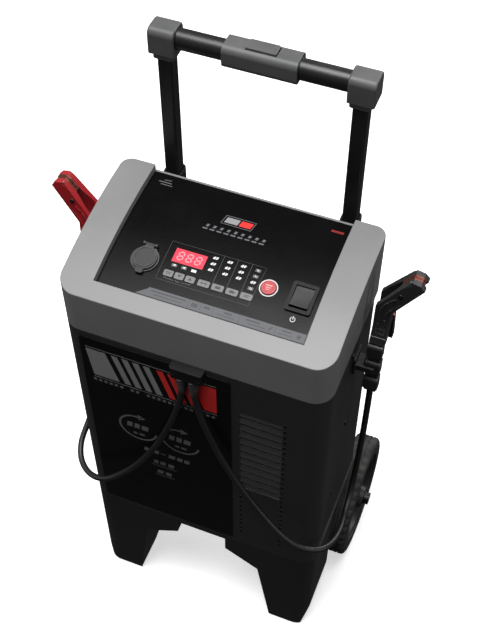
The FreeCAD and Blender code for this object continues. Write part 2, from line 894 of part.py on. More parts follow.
def make_control_panel():
    half = panel_width / 2 - panel_gap
    y0, y1 = at(panel_front + panel_gap), back - bezel_wall - panel_gap
    sheet = under_crown(panel_radius, -half, half, y0, y1, bezel_bottom)
    sheet = sheet.cut(under_crown(panel_radius - panel_thickness, -half - 1, half + 1, y0 - 1, y1 + 1,
                                  bezel_bottom - 1))
    cuts = [on_panel(key_hole(w), x, key_from_front) for _, x, w in key_row]
    deep = -2 * panel_thickness
    cuts.append(on_panel(rod(V(0, 0, deep), Z, 12, start_radius + key_clearance), *start_place))
    w, d = display_size[0] / 2, display_size[1] / 2
    cuts.append(on_panel(block(-w, w, -d, d, deep, 6), *display_place))
    lens = light_shape(deep, 6)
    cuts += [on_panel(lens, x, depth) for x, depth in light_places()]
    cuts.append(on_panel(rod(V(0, 0, deep), Z, 12, outlet_bore + outlet_wall), *outlet_place))
    w, d = switch_width / 2 - switch_rim, switch_length / 2 - switch_rim
    cuts.append(on_panel(block(-w, w, -d, d, deep, 6), *switch_place))
    return sheet.cut(group(cuts))


def make_display_window():
    w, d = display_size[0] / 2, display_size[1] / 2
    top = -window_sink
    return on_panel(block(-w, w, -d, d, top - window_thickness, top), *display_place)


def make_display_module():
    w, d = display_size[0] / 2 + display_border, display_size[1] / 2 + display_border
    top = -panel_thickness - window_sink
    return on_panel(block(-w, w, -d, d, top - module_thickness, top), *display_place)


def make_outlet_socket():
    """barrel under the panel, a flange on it, and two ears for the cap's hinge pin"""
    low = -outlet_depth - outlet_bottom
    barrel = rod(V(0, 0, low), Z, -low, outlet_bore + outlet_wall)
    flange = rod(V(0, 0, 0), Z, outlet_flange_thickness, outlet_flange)
    bore = rod(V(0, 0, -outlet_depth), Z, outlet_depth + 5, outlet_bore)
    contact_hole = rod(V(0, 0, low - 1), Z, outlet_bottom + 2, contact_radius)
    ears = []
    for side in (-1, 1):
        start = V(side * outlet_ear_inside, outlet_hinge_y, outlet_hinge_z)
        ears.append(rod(start, X * side, outlet_ear, outlet_ear_radius))
        x0, x1 = sorted((side * outlet_ear_inside, side * (outlet_ear_inside + outlet_ear)))
        ears.append(block(x0, x1, outlet_hinge_y - outlet_ear_radius, outlet_hinge_y + outlet_ear_radius,
                          0, outlet_hinge_z))
    reach = outlet_ear_inside + outlet_ear
    seat = block(-reach, reach, 0, outlet_hinge_y + outlet_ear_radius, 0, 1.2)
    seat = seat.cut(rod(V(0, 0, -1), Z, 5, outlet_flange - 1))
    whole = fused([barrel, flange, seat] + ears)
    pin_hole = rod(V(-12, outlet_hinge_y, outlet_hinge_z), X, 24, outlet_pin_radius)
    return on_panel(whole.cut(bore).cut(contact_hole).cut(pin_hole), *outlet_place)


def make_outlet_contact():
    """centre contact, its top a little below the bore's floor"""
    stem = rod(V(0, 0, -outlet_depth - contact_length), Z, contact_length - 1, contact_radius)
    return on_panel(stem, *outlet_place)


def make_outlet_pin():
    reach = outlet_ear_inside + outlet_ear
    pin = rod(V(-reach, outlet_hinge_y, outlet_hinge_z), X, 2 * reach, outlet_pin_radius)
    return on_panel(pin, *outlet_place)


def make_outlet_cap():
    """lid over the outlet's mouth, with a finger tab in front and a hinge at the back"""
    low = outlet_flange_thickness + cap_gap
    high = low + outlet_cap_thickness
    disc = rod(V(0, 0, low), Z, outlet_cap_thickness, outlet_flange - 2)
    tab = block(-outlet_tab / 2, outlet_tab / 2, -outlet_flange - 3.5, -outlet_flange + 4, low, high - 0.4)
    tab = fillet_along(tab, 2.5, Z, lambda e: e.CenterOfMass.y < -outlet_flange)
    half = outlet_ear_inside - 0.7
    strap = block(-half, half, outlet_flange - 4, outlet_hinge_y, low, high)
    knuckle = rod(V(-half, outlet_hinge_y, outlet_hinge_z), X, 2 * half, outlet_ear_radius - 0.5)
    whole = fused([disc, tab, strap, knuckle])
    pin_way = rod(V(-8, outlet_hinge_y, outlet_hinge_z), X, 16, outlet_pin_radius + running_clearance)
    return on_panel(whole.cut(pin_way), *outlet_place)


def make_switch_housing():
    w, d = switch_width / 2, switch_length / 2
    inset = switch_rim + 0.2
    rim = fillet_along(block(-w, w, -d, d, 0, switch_rim), 3, Z)
    body = block(-w + inset, w - inset, -d + inset, d - inset, -switch_body_depth, 0)
    wall = switch_wall + 1
    inner = block(-w + wall, w - wall, -d + wall, d - wall, -switch_body_depth + switch_floor, 5)
    whole = rim.fuse(body).cut(inner)
    pin_hole = rod(V(-w + 2, 0, rocker_pin_z), X, 2 * w - 4, rocker_pin_radius)
    return on_panel(whole.cut(pin_hole).removeSplitter(), *switch_place)


def make_rocker_pin():
    w = switch_width / 2 - 4
    return on_panel(rod(V(-w, 0, rocker_pin_z), X, 2 * w, rocker_pin_radius), *switch_place)


def make_rocker():
    """paddle that leans to one side of its pin, then to the other"""
    w = switch_width / 2 - switch_wall - 1 - rocker_gap
    d = switch_length / 2 - switch_wall - 1 - 3 * rocker_gap
    low = 2 * rocker_pin_z
    outline = [(-w, -d, 2.5), (-w, 0, 1.2), (-w, d, 2.5), (-w, d - 3, rocker_pin_z), (-w, 3, low),
               (-w, -3, low), (-w, -d + 3, rocker_pin_z)]
    paddle = prism(outline, V(2 * w, 0, 0))
    pin_way = rod(V(-w - 1, 0, rocker_pin_z), X, 2 * w + 2, rocker_pin_radius + running_clearance)
    paddle = paddle.cut(pin_way)
    paddle.rotate(V(0, 0, rocker_pin_z), X, -rocker_tilt)
    holder = FreeCAD.Placement(panel_frame(*switch_place))
    paddle.Placement = holder.multiply(paddle.Placement)
    return paddle


# ---- inside the body ----------------------------------------------------------------
core_low = body_bottom + core_lift
limb_left = (core_left + core_right - core_limb) / 2


def make_transformer():
    """iron core: two windows with the wound limb between them"""
    high = core_low + core_height
    core = block(core_left, core_right, at(core_front), at(core_back), core_low, high)
    for x in (limb_left - core_window, limb_left + core_limb):
        window = block(x, x + core_window, at(core_front) - 1, at(core_back) + 1,
                       core_low + core_yoke, high - core_yoke)
        core = core.cut(window)
    return core


def make_transformer_winding():
    reach = core_window - winding_gap
    outer = block(limb_left - reach, limb_left + core_limb + reach, at(core_front - winding_overhang),
                  at(core_back + winding_overhang), core_low + core_yoke + 2 * winding_gap,
                  core_low + core_height - core_yoke - 2 * winding_gap)
    outer = fillet_along(outer, 10, X)
    limb = block(limb_left, limb_left + core_limb, at(core_front), at(core_back),
                 core_low, core_low + core_height)
    return outer.cut(limb)


def make_power_board():
    return block(power_board_x, power_board_x + board_thickness, at(power_board_front), at(power_board_back),
                 power_board_low, power_board_high)


def make_board_parts():
    """capacitors, relays and a choke that stand on the power board"""
    x = power_board_x + board_thickness
    parts = []
    for k in range(4):
        z = power_board_low + 50 + 38 * k
        parts.append(rod(V(x, at(power_board_front + 30), z), X, capacitor_length, capacitor_radius))
    tall, deep, high = relay_size
    for k in range(3):
        y, z = at(power_board_front + 65), power_board_low + 40 + 40 * k
        parts.append(block(x, x + tall, y, y + deep, z, z + high))
    choke = V(x, at(power_board_front + 110), power_board_high - 60)
    parts.append(ring(choke, X, choke_thickness, choke_radius, choke_hole))
    return group(parts)


def make_board_posts():
    x0 = inner_side
    posts = []
    for depth in (power_board_front + 80, power_board_back - 8):
        for z in (power_board_low + 12, power_board_high - 12):
            posts.append(rod(V(x0, at(depth), z), X, power_board_x - x0, post_diameter / 2))
    return group(posts)


def make_heat_sink():
    plate_front = sink_back - sink_plate
    plate = block(sink_left, sink_right, at(plate_front), at(sink_back), sink_low, sink_high)
    fins = []
    for k in range(int((sink_right - sink_left) / fin_pitch) + 1):
        x = sink_left + 2 + fin_pitch * k
        fins.append(block(x, x + fin_thickness, at(sink_front), at(plate_front), sink_low, sink_high))
    return fused([plate] + fins)


def make_heat_sink_feet():
    feet = []
    for x in (sink_left + 10, sink_right - 10 - foot_size):
        for z in (sink_low + 10, sink_high - 10 - foot_size):
            feet.append(block(x, x + foot_size, at(sink_back), inner_back, z, z + foot_size))
    return group(feet)


def make_rectifiers():
    low = (sink_low + sink_high - rectifier_size) / 2
    parts = []
    for k in range(4):
        x = sink_left + 32 + 40 * k
        parts.append(block(x, x + rectifier_size, at(sink_back), at(sink_back) + rectifier_thickness,
                           low, low + rectifier_size))
    return group(parts)


def make_control_board():
    high = panel_radius - panel_thickness - control_board_drop
    x0, x1 = control_board_left, control_board_right
    board = under_crown(high, x0, x1, at(control_board_front), at(control_board_back), bezel_bottom)
    board = board.cut(under_crown(high - board_thickness, x0 - 1, x1 + 1, at(control_board_front) - 2,
                                  at(control_board_back) + 2, bezel_bottom - 1))
    hole = rod(V(0, 0, -60), Z, 80, outlet_bore + outlet_wall + 2)
    return board.cut(on_panel(hole, *outlet_place))


def make_key_switches(board):
    """small push switches on the control board, one under each key"""
    low = -panel_thickness - control_board_drop + 0.5
    high = -panel_thickness - key_flange_gap - key_flange
    half = key_switch_size / 2
    switches = []
    for _, x, _ in key_row:
        switch = block(-half, half, -half, half, low, high - key_travel - 0.4)
        switches.append(on_panel(switch, x, key_from_front))
    half = start_switch_size / 2
    switch = block(-half, half, -half, half, low, high - start_travel - 0.5)
    switches.append(on_panel(switch, *start_place))
    return group([s.cut(board) for s in switches])


def make_control_board_posts():
    edge = control_post_edge
    under_panel = panel_radius - panel_thickness
    room = under_crown(under_panel - key_flange_gap, -200, 200, at(40), at(130), bezel_bottom - 1)
    room = room.cut(under_crown(under_panel - control_board_drop, -200, 200,
                                at(40), at(130), bezel_bottom - 1))
    posts = []
    for x in (control_board_left + edge, control_board_right - edge):
        for depth in (control_board_front + edge, control_board_back - edge):
            posts.append(rod(V(x, at(depth), bezel_bottom), Z, 150, control_post_radius).common(room))
    return group(posts)


def make_bus_bars():
    """two bars behind the lead exits, one shorter than the other"""
    half = bus_bar_width / 2
    bars = []
    for k, x in enumerate(lead_exits):
        low = bus_bar_low + bus_bar_step * k
        bars.append(block(x - half, x + half, at(terminal_front) - bus_bar_thickness, at(terminal_front),
                          low, lead_exit_z + 6))
    return group(bars)


def make_terminal_block():
    return block(hood_x - terminal_half_width, hood_x + terminal_half_width, at(terminal_front),
                 at(terminal_back), terminal_low, terminal_high)


def make_terminal_posts():
    posts = []
    for side in (-1, 1):
        x = hood_x + side * (terminal_half_width - 6)
        posts.append(block(x - 5, x + 5, at(shell_wall), at(terminal_front),
                           terminal_low + 6, terminal_high - 6))
    return group(posts)


def make_fan_frame():
    """square frame with a round way, two struts across it and the rotor's shaft"""
    y0 = inner_back - fan_thickness
    half = fan_size / 2
    frame = block(fan_x - half, fan_x + half, y0, inner_back, fan_height - half, fan_height + half)
    frame = frame.cut(rod(V(fan_x, y0 - 1, fan_height), Y, fan_thickness + 2, half - 2))
    struts = []
    for angle in (45, 135):
        bar = block(-half + 1, half - 1, inner_back - strut_thickness, inner_back,
                    -strut_width / 2, strut_width / 2)
        bar.rotate(V(0, 0, 0), Y, angle)
        bar.translate(V(fan_x, 0, fan_height))
        struts.append(bar)
    hub = rod(V(fan_x, inner_back - strut_thickness, fan_height), Y, strut_thickness, fan_hub + 1)
    shaft = rod(V(fan_x, y0 + 4, fan_height), Y, fan_thickness - 5, fan_shaft_radius)
    return fused([frame, hub, shaft] + struts)


def make_fan_rotor():
    y0 = inner_back - fan_thickness
    hub = rod(V(fan_x, y0 + 2, fan_height), Y, fan_thickness - 2 * strut_thickness, fan_hub)
    tip = fan_size / 2 - 4
    blades = []
    for k in range(fan_blades):
        blade = block(fan_hub - 4, tip, -8, 8, -0.9, 0.9)
        blade.rotate(V(0, 0, 0), X, fan_blade_twist)
        blade.rotate(V(0, 0, 0), Y, 360 / fan_blades * k)
        blade.translate(V(fan_x, (y0 + inner_back) / 2 - 1, fan_height))
        blades.append(blade)
    bore = rod(V(fan_x, y0, fan_height), Y, fan_thickness, fan_shaft_radius + running_clearance)
    return fused([hub] + blades).cut(bore)


def make_mains_inlet():
    """bushing in the back wall that the mains cord would leave through"""
    y0 = inner_back - inlet_flange
    through = rod(V(inlet_x, y0, inlet_z), Y, 2 * shell_wall + 2 * inlet_flange, inlet_radius)
    flange = rod(V(inlet_x, back - shell_wall, inlet_z), Y, inlet_flange - 1, inlet_radius + inlet_flange)
    nut = rod(V(inlet_x, y0, inlet_z), Y, inlet_flange, inlet_radius + inlet_flange)
    hole = rod(V(inlet_x, y0 - 2, inlet_z), Y, 30, inlet_cord_radius)
    return fused([through, flange, nut]).cut(hole)


# ---- handle ----------------------------------------------------------------------------
def rect_tube(x, half_w, half_d, wall, radius, z0, z1):
    outer = block(x - half_w, x + half_w, post_y - half_d, post_y + half_d, z0, z1)
    outer = fillet_along(outer, radius, Z)
    if wall is None:
        return outer
    inner = rect_tube(x, half_w - wall, half_d - wall, None, max(radius - wall, 0.5), z0 - 1, z1 + 1)
    return outer.cut(inner)



def make_sleeves():
    half_w, half_d = sleeve_half_sizes()
    tube = rect_tube(post_half_spacing, half_w, half_d, sleeve_wall, post_radius + sleeve_gap + sleeve_wall,
                     sleeve_bottom, sleeve_top)
    return both_sides(tube)


def make_posts():
    tube = rect_tube(post_half_spacing, post_width / 2, post_depth / 2, post_wall, post_radius,
                     post_low, crossbar_height - crossbar_radius - 1)
    pin_hole = rod(V(post_half_spacing, post_y, latch_z), X, post_width, latch_pin_radius + 0.3)
    return both_sides(tube.cut(pin_hole))



def make_post_guides():
    """plugs in the lower ends of the posts that keep the latch pins in line"""
    half_w = post_width / 2 - post_wall
    half_d = post_depth / 2 - post_wall
    plug = rect_tube(post_half_spacing, half_w, half_d, None, max(post_radius - post_wall, 0.5),
                     post_low, latch_z + 9)
    pin_way = rod(V(post_half_spacing - half_w - 1, post_y, latch_z), X,
                  2 * half_w + 2, latch_pin_radius + 0.1)
    rod_way = rod(V(post_half_spacing, post_y, latch_z + 4), Z, 20, yoke_radius + 0.3)
    return both_sides(plug.cut(pin_way).cut(rod_way))


def make_latch_pin():
    outer_x = post_half_spacing + post_width / 2
    length = post_width - 2 * post_wall - latch_travel
    pin = rod(V(outer_x, post_y, latch_z), -X, length, latch_pin_radius)
    return pin


def make_crossbar():
    half = post_half_spacing - post_width / 2
    inner = crossbar_radius - crossbar_wall
    tube = ring(V(-half, post_y, crossbar_height), X, 2 * half, crossbar_radius, inner)
    slot = block(-7, 7, post_y - 4, post_y + 4, crossbar_height, crossbar_height + crossbar_radius + 2)
    return tube.cut(slot)


def make_corner_caps():
    """elbow that joins a post to the crossbar, with a collar round the post"""
    x = post_half_spacing
    half_w, half_d = post_width / 2, post_depth / 2
    inner_x = x - cap_width / 2 + 1
    tube_end = crossbar_height - crossbar_radius - 1
    shell = block(inner_x, inner_x + cap_width, post_y - cap_depth / 2, post_y + cap_depth / 2,
                  cap_low + cap_shell_above_collar, crossbar_height + cap_above)
    shell = fillet_along(shell, 9, X, lambda e: e.CenterOfMass.z > crossbar_height)
    shell = fillet_along(shell, 2.5, Z)
    collar = block(x - half_w - cap_collar, x + half_w + cap_collar, post_y - half_d - cap_collar,
                   post_y + half_d + cap_collar, cap_low, cap_low + cap_collar_height)
    collar = fillet_along(collar, 4, Z)
    post_way = rect_tube(x, half_w, half_d, None, post_radius, cap_low - 1, tube_end)
    bar_way = rod(V(inner_x - 5, post_y, crossbar_height), X, x - half_w - inner_x + 5, crossbar_radius)
    # room for the yoke's bend and its travel
    room = block(x - half_w, x + 6, post_y - 6, post_y + 6, tube_end - 1, crossbar_height + 8)
    whole = shell.fuse(collar).cut(post_way).cut(bar_way).cut(room)
    return both_sides(whole.removeSplitter())


def make_handle_grip():
    half = grip_length / 2
    low, high = crossbar_height - grip_height / 2, crossbar_height + grip_height / 2
    body = block(-half, half, post_y - grip_depth / 2, post_y + grip_depth / 2, low, high)
    body = fillet_along(body, 9, X)
    body = body.cut(rod(V(-half - 1, post_y, crossbar_height), X, grip_length + 2, crossbar_radius))
    pocket_length, pocket_depth = button_half_length + button_gap, button_half_depth + button_gap
    pocket = block(-pocket_length, pocket_length, post_y - pocket_depth, post_y + pocket_depth,
                   crossbar_height, high + 1)
    return body.cut(pocket)



def make_release_button():
    """saddle-shaped push button with a stem that reaches into the crossbar to the yoke"""
    high = crossbar_height + grip_height / 2
    hollow = crossbar_radius + button_travel + button_gap
    slab = block(-button_half_length, button_half_length, post_y - button_half_depth,
                 post_y + button_half_depth, crossbar_height + hollow - 2.5, high + button_rise)
    slab = slab.cut(rod(V(-50, post_y, crossbar_height), X, 100, hollow))
    slab = fillet_along(slab, 2.5, Z)
    stem = block(-5, 5, post_y - yoke_radius, post_y + yoke_radius, crossbar_height + yoke_radius - 0.5, high)
    return slab.fuse(stem).cut(yoke_bar()).removeSplitter()


def yoke_bar():
    return rod(V(-post_half_spacing, post_y, crossbar_height), X, 2 * post_half_spacing, yoke_radius)


def make_latch_yoke():
    """one bent rod: across inside the bar and down inside both posts"""
    low = latch_z + latch_pin_radius + button_travel + 1
    length = crossbar_height - low
    legs = [rod(V(s * post_half_spacing, post_y, low), Z, length, yoke_radius) for s in (-1, 1)]
    ends = [Part.makeSphere(yoke_radius, V(s * post_half_spacing, post_y, crossbar_height)) for s in (-1, 1)]
    return fused([yoke_bar()] + legs + ends)


# ---- clamps and leads ---------------------------------------------------------------------
def clamp_z(above):
    return bezel_bottom + above


pivot_z = clamp_z(clamp_pivot_above)


def clamp_plan(low):
    """an arm seen from the front: upright, then leaning outwards to the tip"""
    w = clamp_half_width
    bend, tip = clamp_z(clamp_bend_above), clamp_z(clamp_tip_above)
    lean = clamp_tip_out / (clamp_tip_above - clamp_bend_above)
    fold = w * (math.sqrt(1 + lean ** 2) - 1) / lean
    tip_x = clamp_x + clamp_tip_out
    nose = 7.0
    points = [
        (clamp_x - w, low), (clamp_x - w, bend + fold), (tip_x - w, tip + fold - nose * 0.2),
        (tip_x - w + 5, tip + fold + nose * 0.4), (tip_x + w - 6, tip - fold + nose),
        (tip_x + w, tip - fold), (clamp_x + w, bend - fold), (clamp_x + w, low),
    ]
    return prism([(x, clamp_y - 40, z) for x, z in points], V(0, 80, 0))


def arm_profile(side, low, low_outer, low_inner, x0, x1):
    """an arm seen from the side, in front of (-1) or behind (1) the clamp's middle plane"""
    top = clamp_tip_above + clamp_tip_depth
    pivot = clamp_pivot_above
    pts = [
        (low_outer, low), (17, pivot - 8), (17, pivot + 8), (15, pivot + 37), (11, top),
        (jaw_thickness, top), (jaw_thickness, clamp_tip_above - clamp_tip_depth), (9, pivot + 41),
        (8, pivot + 12), (6, pivot), (9, pivot - 14), (low_inner, low),
    ]
    return prism([(x0, clamp_y + side * a, clamp_z(z)) for a, z in pts], V(x1 - x0, 0, 0))


def cheeks(inner, outer, radius):
    """a pair of discs on the pivot's axis, between two distances from the clamp's middle"""
    return [rod(V(x, clamp_y, pivot_z), X, outer - inner, radius) for x in (clamp_x - outer, clamp_x + inner)]


def make_clamp_arm(side):
    """one arm; the front arm's ears lie outside the rear arm's, next to each other on the pin"""
    w = clamp_half_width
    front_arm = side < 0
    low = -boot_top_below if front_arm else -rear_grip_below
    outer, inner = (26, 15) if front_arm else (29, 18)
    arm = arm_profile(side, low, outer, inner, clamp_x - 30, clamp_x + 80)
    arm = arm.common(clamp_plan(clamp_z(low)))
    middle = w - clamp_ear
    inside = middle - clamp_ear_gap - clamp_ear
    own = (middle, w) if front_arm else (inside, middle - clamp_ear_gap)
    ears = cheeks(own[0], own[1], clamp_ear_radius)
    y0, y1 = sorted((clamp_y, clamp_y + side * 12))
    for x in (clamp_x - own[1], clamp_x + own[0]):
        ears.append(block(x, x + own[1] - own[0], y0, y1, pivot_z - clamp_ear_radius + 1,
                          pivot_z + clamp_ear_radius - 1))
    whole = fused([arm] + ears)
    # the other arm's ears turn inside these rooms, and the spring lies between them
    other = (inside - 0.2, middle - 0.1) if front_arm else (middle - 0.2, w + 1)
    rooms = cheeks(other[0], other[1], clamp_ear_radius + clamp_turn_gap)
    half = inside - 0.1
    rooms.append(rod(V(clamp_x - half, clamp_y, pivot_z), X, 2 * half, clamp_ear_radius + clamp_turn_gap))
    hole = clamp_pin_radius if front_arm else clamp_pin_radius + running_clearance
    pin_way = rod(V(clamp_x - 30, clamp_y, pivot_z), X, 60, hole)
    return whole.cut(group(rooms)).cut(pin_way).removeSplitter()


def make_clamp_pin():
    length = 2 * clamp_half_width + 4
    return rod(V(clamp_x - length / 2, clamp_y, pivot_z), X, length, clamp_pin_radius)


def make_clamp_spring():
    """torsion spring round the pin, as a plain sleeve"""
    half = clamp_half_width - 2 * clamp_ear - clamp_turn_gap
    inner = clamp_pin_radius + spring_gap
    return ring(V(clamp_x - half, clamp_y, pivot_z), X, 2 * half, inner + spring_wire, inner)


def make_clamp_jaw(side):
    """copper jaw plate with teeth, on the inner face of an arm"""
    w = clamp_half_width - 3
    z = clamp_tip_above + 9
    pts = [(jaw_thickness, z), (0.2, z)]
    for k in range(jaw_teeth):
        pts += [(0.2 + jaw_tooth, z - jaw_tooth_pitch / 2), (0.2, z - jaw_tooth_pitch)]
        z -= jaw_tooth_pitch
    pts += [(jaw_thickness, clamp_tip_above - clamp_tip_depth)]
    outline = [(clamp_x - 40, clamp_y + side * a, clamp_z(b)) for a, b in pts]
    plate = prism(outline, V(140, 0, 0))
    narrow = block(clamp_x, clamp_x + clamp_tip_out + w, clamp_y - 40, clamp_y + 40,
                   clamp_z(60), clamp_z(140))
    return plate.common(clamp_plan(clamp_z(0)).common(narrow))


def make_clamp_boot():
    """ribbed grip under the front arm, which the lead comes up into"""
    top, low = clamp_z(-boot_top_below), clamp_z(-boot_bottom_below)
    y0 = boot_y - boot_core_depth / 2
    y1 = boot_y + boot_core_depth / 2
    core = block(boot_x - boot_core / 2, boot_x + boot_core / 2, y0, y1, low, top)
    pitch = (top - low) / boot_ribs
    ribs = []
    for k in range(boot_ribs):
        z = low + pitch * (k + 0.5)
        rib = block(boot_x - boot_rib / 2, boot_x + boot_rib / 2, y1 - boot_rib_depth, y1,
                    z - pitch * 0.36, z + pitch * 0.36)
        ribs.append(fillet_along(rib, 5, X, lambda e: e.CenterOfMass.y < boot_y))
    return fused([core] + ribs)


def make_clamp_holder():
    """clip on the side of the body that the boot is pressed into"""
    x0 = side_skin
    y0, y1 = boot_y - 9.5, boot_y + boot_core_depth / 2 + 0.5
    high = clamp_z(-holder_below)
    low = high - holder_height
    centre = (low + high) / 2
    plate = block(x0, x0 + holder_plate, boot_y - 14, boot_y + 14, centre - holder_plate_height / 2,
                  centre + holder_plate_height / 2)
    arms = block(x0, clamp_x + 2, y0 - 3.5, y1 + 3.5, low, high)
    way = block(boot_x - boot_rib / 2 - 2, clamp_x + 20, y0, y1, low - 1, high + 1)
    return plate.fuse(arms.cut(way)).removeSplitter()


def route_points(route):
    return [V(x, at(depth), bezel_bottom - below) for x, depth, below in route]


def lead_path(points):
    """straight runs joined by tangent arcs as large as the runs allow"""
    edges = []
    radii = []
    start = points[0]
    for before, here, after in zip(points, points[1:], points[2:]):
        into = (here - before).normalize()
        out = (after - here).normalize()
        turn = into.getAngle(out)
        shorter = min((here - before).Length, (after - here).Length)
        reach = 0.45 * shorter
        radii.append(reach / math.tan(turn / 2))
        a, b = here - into * reach, here + out * reach
        centre_side = (out - into).normalize()
        sagitta = radii[-1] * (1 / math.cos(turn / 2) - 1)
        edges.append(Part.LineSegment(start, a).toShape())
        edges.append(Part.Arc(a, here + centre_side * sagitta, b).toShape())
        start = b
    edges.append(Part.LineSegment(start, points[-1]).toShape())
    return Part.Wire(edges), radii


def make_lead(name, route):
    points = route_points(route)
    path, radii = lead_path(points)
    heading = (points[1] - points[0]).normalize()
    section = Part.Wire(Part.makeCircle(lead_radius, points[0], heading))
    tube = path.makePipeShell([section], True, False)
    expected = math.pi * lead_radius ** 2 * path.Length
    runs = [(b - a).Length for a, b in zip(points, points[1:])]
    print(name, "length", round(path.Length, 1), "volume ratio", round(tube.Volume / expected, 4))
    print(" radii", [round(r) for r in radii])
    print(" runs", [round(r) for r in runs])
    return tube


def make_clamps():
    for colour, flip in (("black", lambda s: s), ("red", mirrored)):
        name = "clamp_" + colour + "_"
        nodes[name + "front_arm"] = flip(group([make_clamp_arm(-1), make_clamp_boot()]))
        nodes[name + "rear_arm"] = flip(make_clamp_arm(1))
        nodes[name + "rear_jaw"] = flip(make_clamp_jaw(1))
        metalwork = [make_clamp_jaw(-1), make_clamp_pin(), make_clamp_spring()]
        nodes[name + "metalwork"] = flip(group(metalwork))


# ---- the whole charger -----------------------------------------------------------------------
def make_all():
    nodes["base"] = make_base()
    nodes["foot_pads"] = make_foot_pads()
    make_wheels()
    nodes["axle"] = make_axle()
    nodes["front_shell"] = make_front_shell()
    nodes["rear_shell"] = make_rear_shell()
    nodes["grille"] = make_grille()
    nodes["label_panel"] = make_label_panel()
    nodes["lead_hood"] = make_lead_hood()
    nodes["lead_glands"] = make_lead_glands()
    nodes["bezel"] = make_bezel()
    nodes["control_panel"] = make_control_panel()
    nodes["display_window"] = make_display_window()
    nodes["indicator_lights"] = make_lights()
    for name, x, width in key_row:
        nodes[name] = make_key(x, width)
    nodes["start_button"] = make_start_button()
    nodes["outlet_socket"] = make_outlet_socket()
    nodes["outlet_cap"] = make_outlet_cap()
    nodes["switch_housing"] = make_switch_housing()
    nodes["power_rocker"] = make_rocker()
    nodes["screws_and_pins"] = make_screws_and_pins()
    nodes["control_board"] = make_control_board_set()
    nodes["transformer_core"] = make_transformer()
    nodes["transformer_winding"] = make_transformer_winding()
    nodes["power_board"] = group([make_power_board(), make_board_parts(), make_board_posts()])
    nodes["heat_sink"] = group([make_heat_sink(), make_heat_sink_feet(), make_rectifiers()])
    nodes["output_terminals"] = group([make_terminal_block(), make_terminal_posts(), make_bus_bars()])
    nodes["fan_frame"] = make_fan_frame()
    nodes["fan_rotor"] = make_fan_rotor()
    nodes["mains_inlet"] = make_mains_inlet()
    nodes["handle_sleeves"] = make_sleeves()
    nodes["sleeve_brackets"] = make_sleeve_brackets()
    nodes["handle_tubes"] = group([make_posts(), make_crossbar()])
    nodes["corner_caps"] = make_corner_caps()
    nodes["handle_grip"] = make_handle_grip()
    nodes["release_button"] = make_release_button()
    nodes["latch_yoke"] = make_latch_yoke()
    nodes["latch_pin_right"] = make_latch_pin()
    nodes["latch_pin_left"] = mirrored(make_latch_pin())
    nodes["post_guides"] = make_post_guides()
    make_clamps()
    nodes["clamp_holders"] = both_sides(make_clamp_holder())
    nodes["lead_right"] = make_lead("lead_right", right_route)
    nodes["lead_left"] = make_lead("lead_left", left_route)


def make_screws_and_pins():
    pieces = [make_side_screws(), make_bracket_screws(), make_base_screws(), make_hood_screws()]
    pieces += [make_axle_washers(), make_axle_caps()]
    return group(pieces + [make_outlet_pin(), make_rocker_pin(), make_outlet_contact()])


def make_control_board_set():
    """the board with its display, its push switches and its four posts"""
    board = make_control_board()
    switches = make_key_switches(board)
    return group([board, switches, make_display_module().cut(board), make_control_board_posts()])


if __name__ == "__main__":
    os.makedirs("parts", exist_ok=True)
    make_all()
    for name, shape in nodes.items():
        shape.exportStep("parts/" + name + ".step")
    print(len(nodes), "nodes")
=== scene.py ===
import json
import math
import bmesh
import bpy
from mathutils import Matrix, Vector
from mathutils.bvhtree import BVHTree


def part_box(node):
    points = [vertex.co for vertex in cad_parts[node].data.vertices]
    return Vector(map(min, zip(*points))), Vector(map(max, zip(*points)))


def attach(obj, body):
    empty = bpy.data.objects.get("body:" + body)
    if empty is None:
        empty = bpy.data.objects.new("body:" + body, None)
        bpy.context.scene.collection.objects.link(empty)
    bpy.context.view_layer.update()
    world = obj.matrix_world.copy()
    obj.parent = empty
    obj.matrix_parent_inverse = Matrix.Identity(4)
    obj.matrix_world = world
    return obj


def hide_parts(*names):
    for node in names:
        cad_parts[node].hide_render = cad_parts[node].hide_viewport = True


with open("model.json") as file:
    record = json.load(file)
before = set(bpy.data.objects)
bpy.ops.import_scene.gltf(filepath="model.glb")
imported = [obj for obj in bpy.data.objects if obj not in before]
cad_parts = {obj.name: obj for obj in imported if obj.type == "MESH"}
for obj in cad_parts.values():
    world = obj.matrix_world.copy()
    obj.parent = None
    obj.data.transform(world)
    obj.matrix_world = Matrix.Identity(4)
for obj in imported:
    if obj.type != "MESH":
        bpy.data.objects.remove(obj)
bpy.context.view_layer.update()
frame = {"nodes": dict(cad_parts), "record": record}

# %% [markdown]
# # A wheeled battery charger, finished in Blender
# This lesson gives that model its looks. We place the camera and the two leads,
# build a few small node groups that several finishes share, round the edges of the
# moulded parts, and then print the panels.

MM = 0.001
nodes = frame["nodes"]
body_of = {}
for body, members in frame["record"]["behaviour"]["bodies"].items():
    for member in members:
        body_of[member] = body

# %% [markdown]
# ## The camera
# A charger like this is shown from above and a little to its right, so that the
# sloping panel, the front and one side all show. Yaw, pitch and roll are easier to
# read than a rotation matrix, so we keep those and let code build the matrix.

# %% Camera
camera_place = Vector((0.3651, -0.8952, 1.7575))
camera_yaw, camera_pitch, camera_roll = 0.380, 0.8953, -0.0044
camera_lens = 63.57


def camera_matrix(place, yaw, pitch, roll):
    ahead = Vector((-math.sin(yaw) * math.cos(pitch), math.cos(yaw) * math.cos(pitch), -math.sin(pitch)))
    right = Vector((math.cos(yaw), math.sin(yaw), 0))
    up = right.cross(ahead)
    side = right * math.cos(roll) + up * math.sin(roll)
    top = side.cross(ahead)
    turn = Matrix((side, top, -ahead)).transposed()
    return Matrix.Translation(place) @ turn.to_4x4()


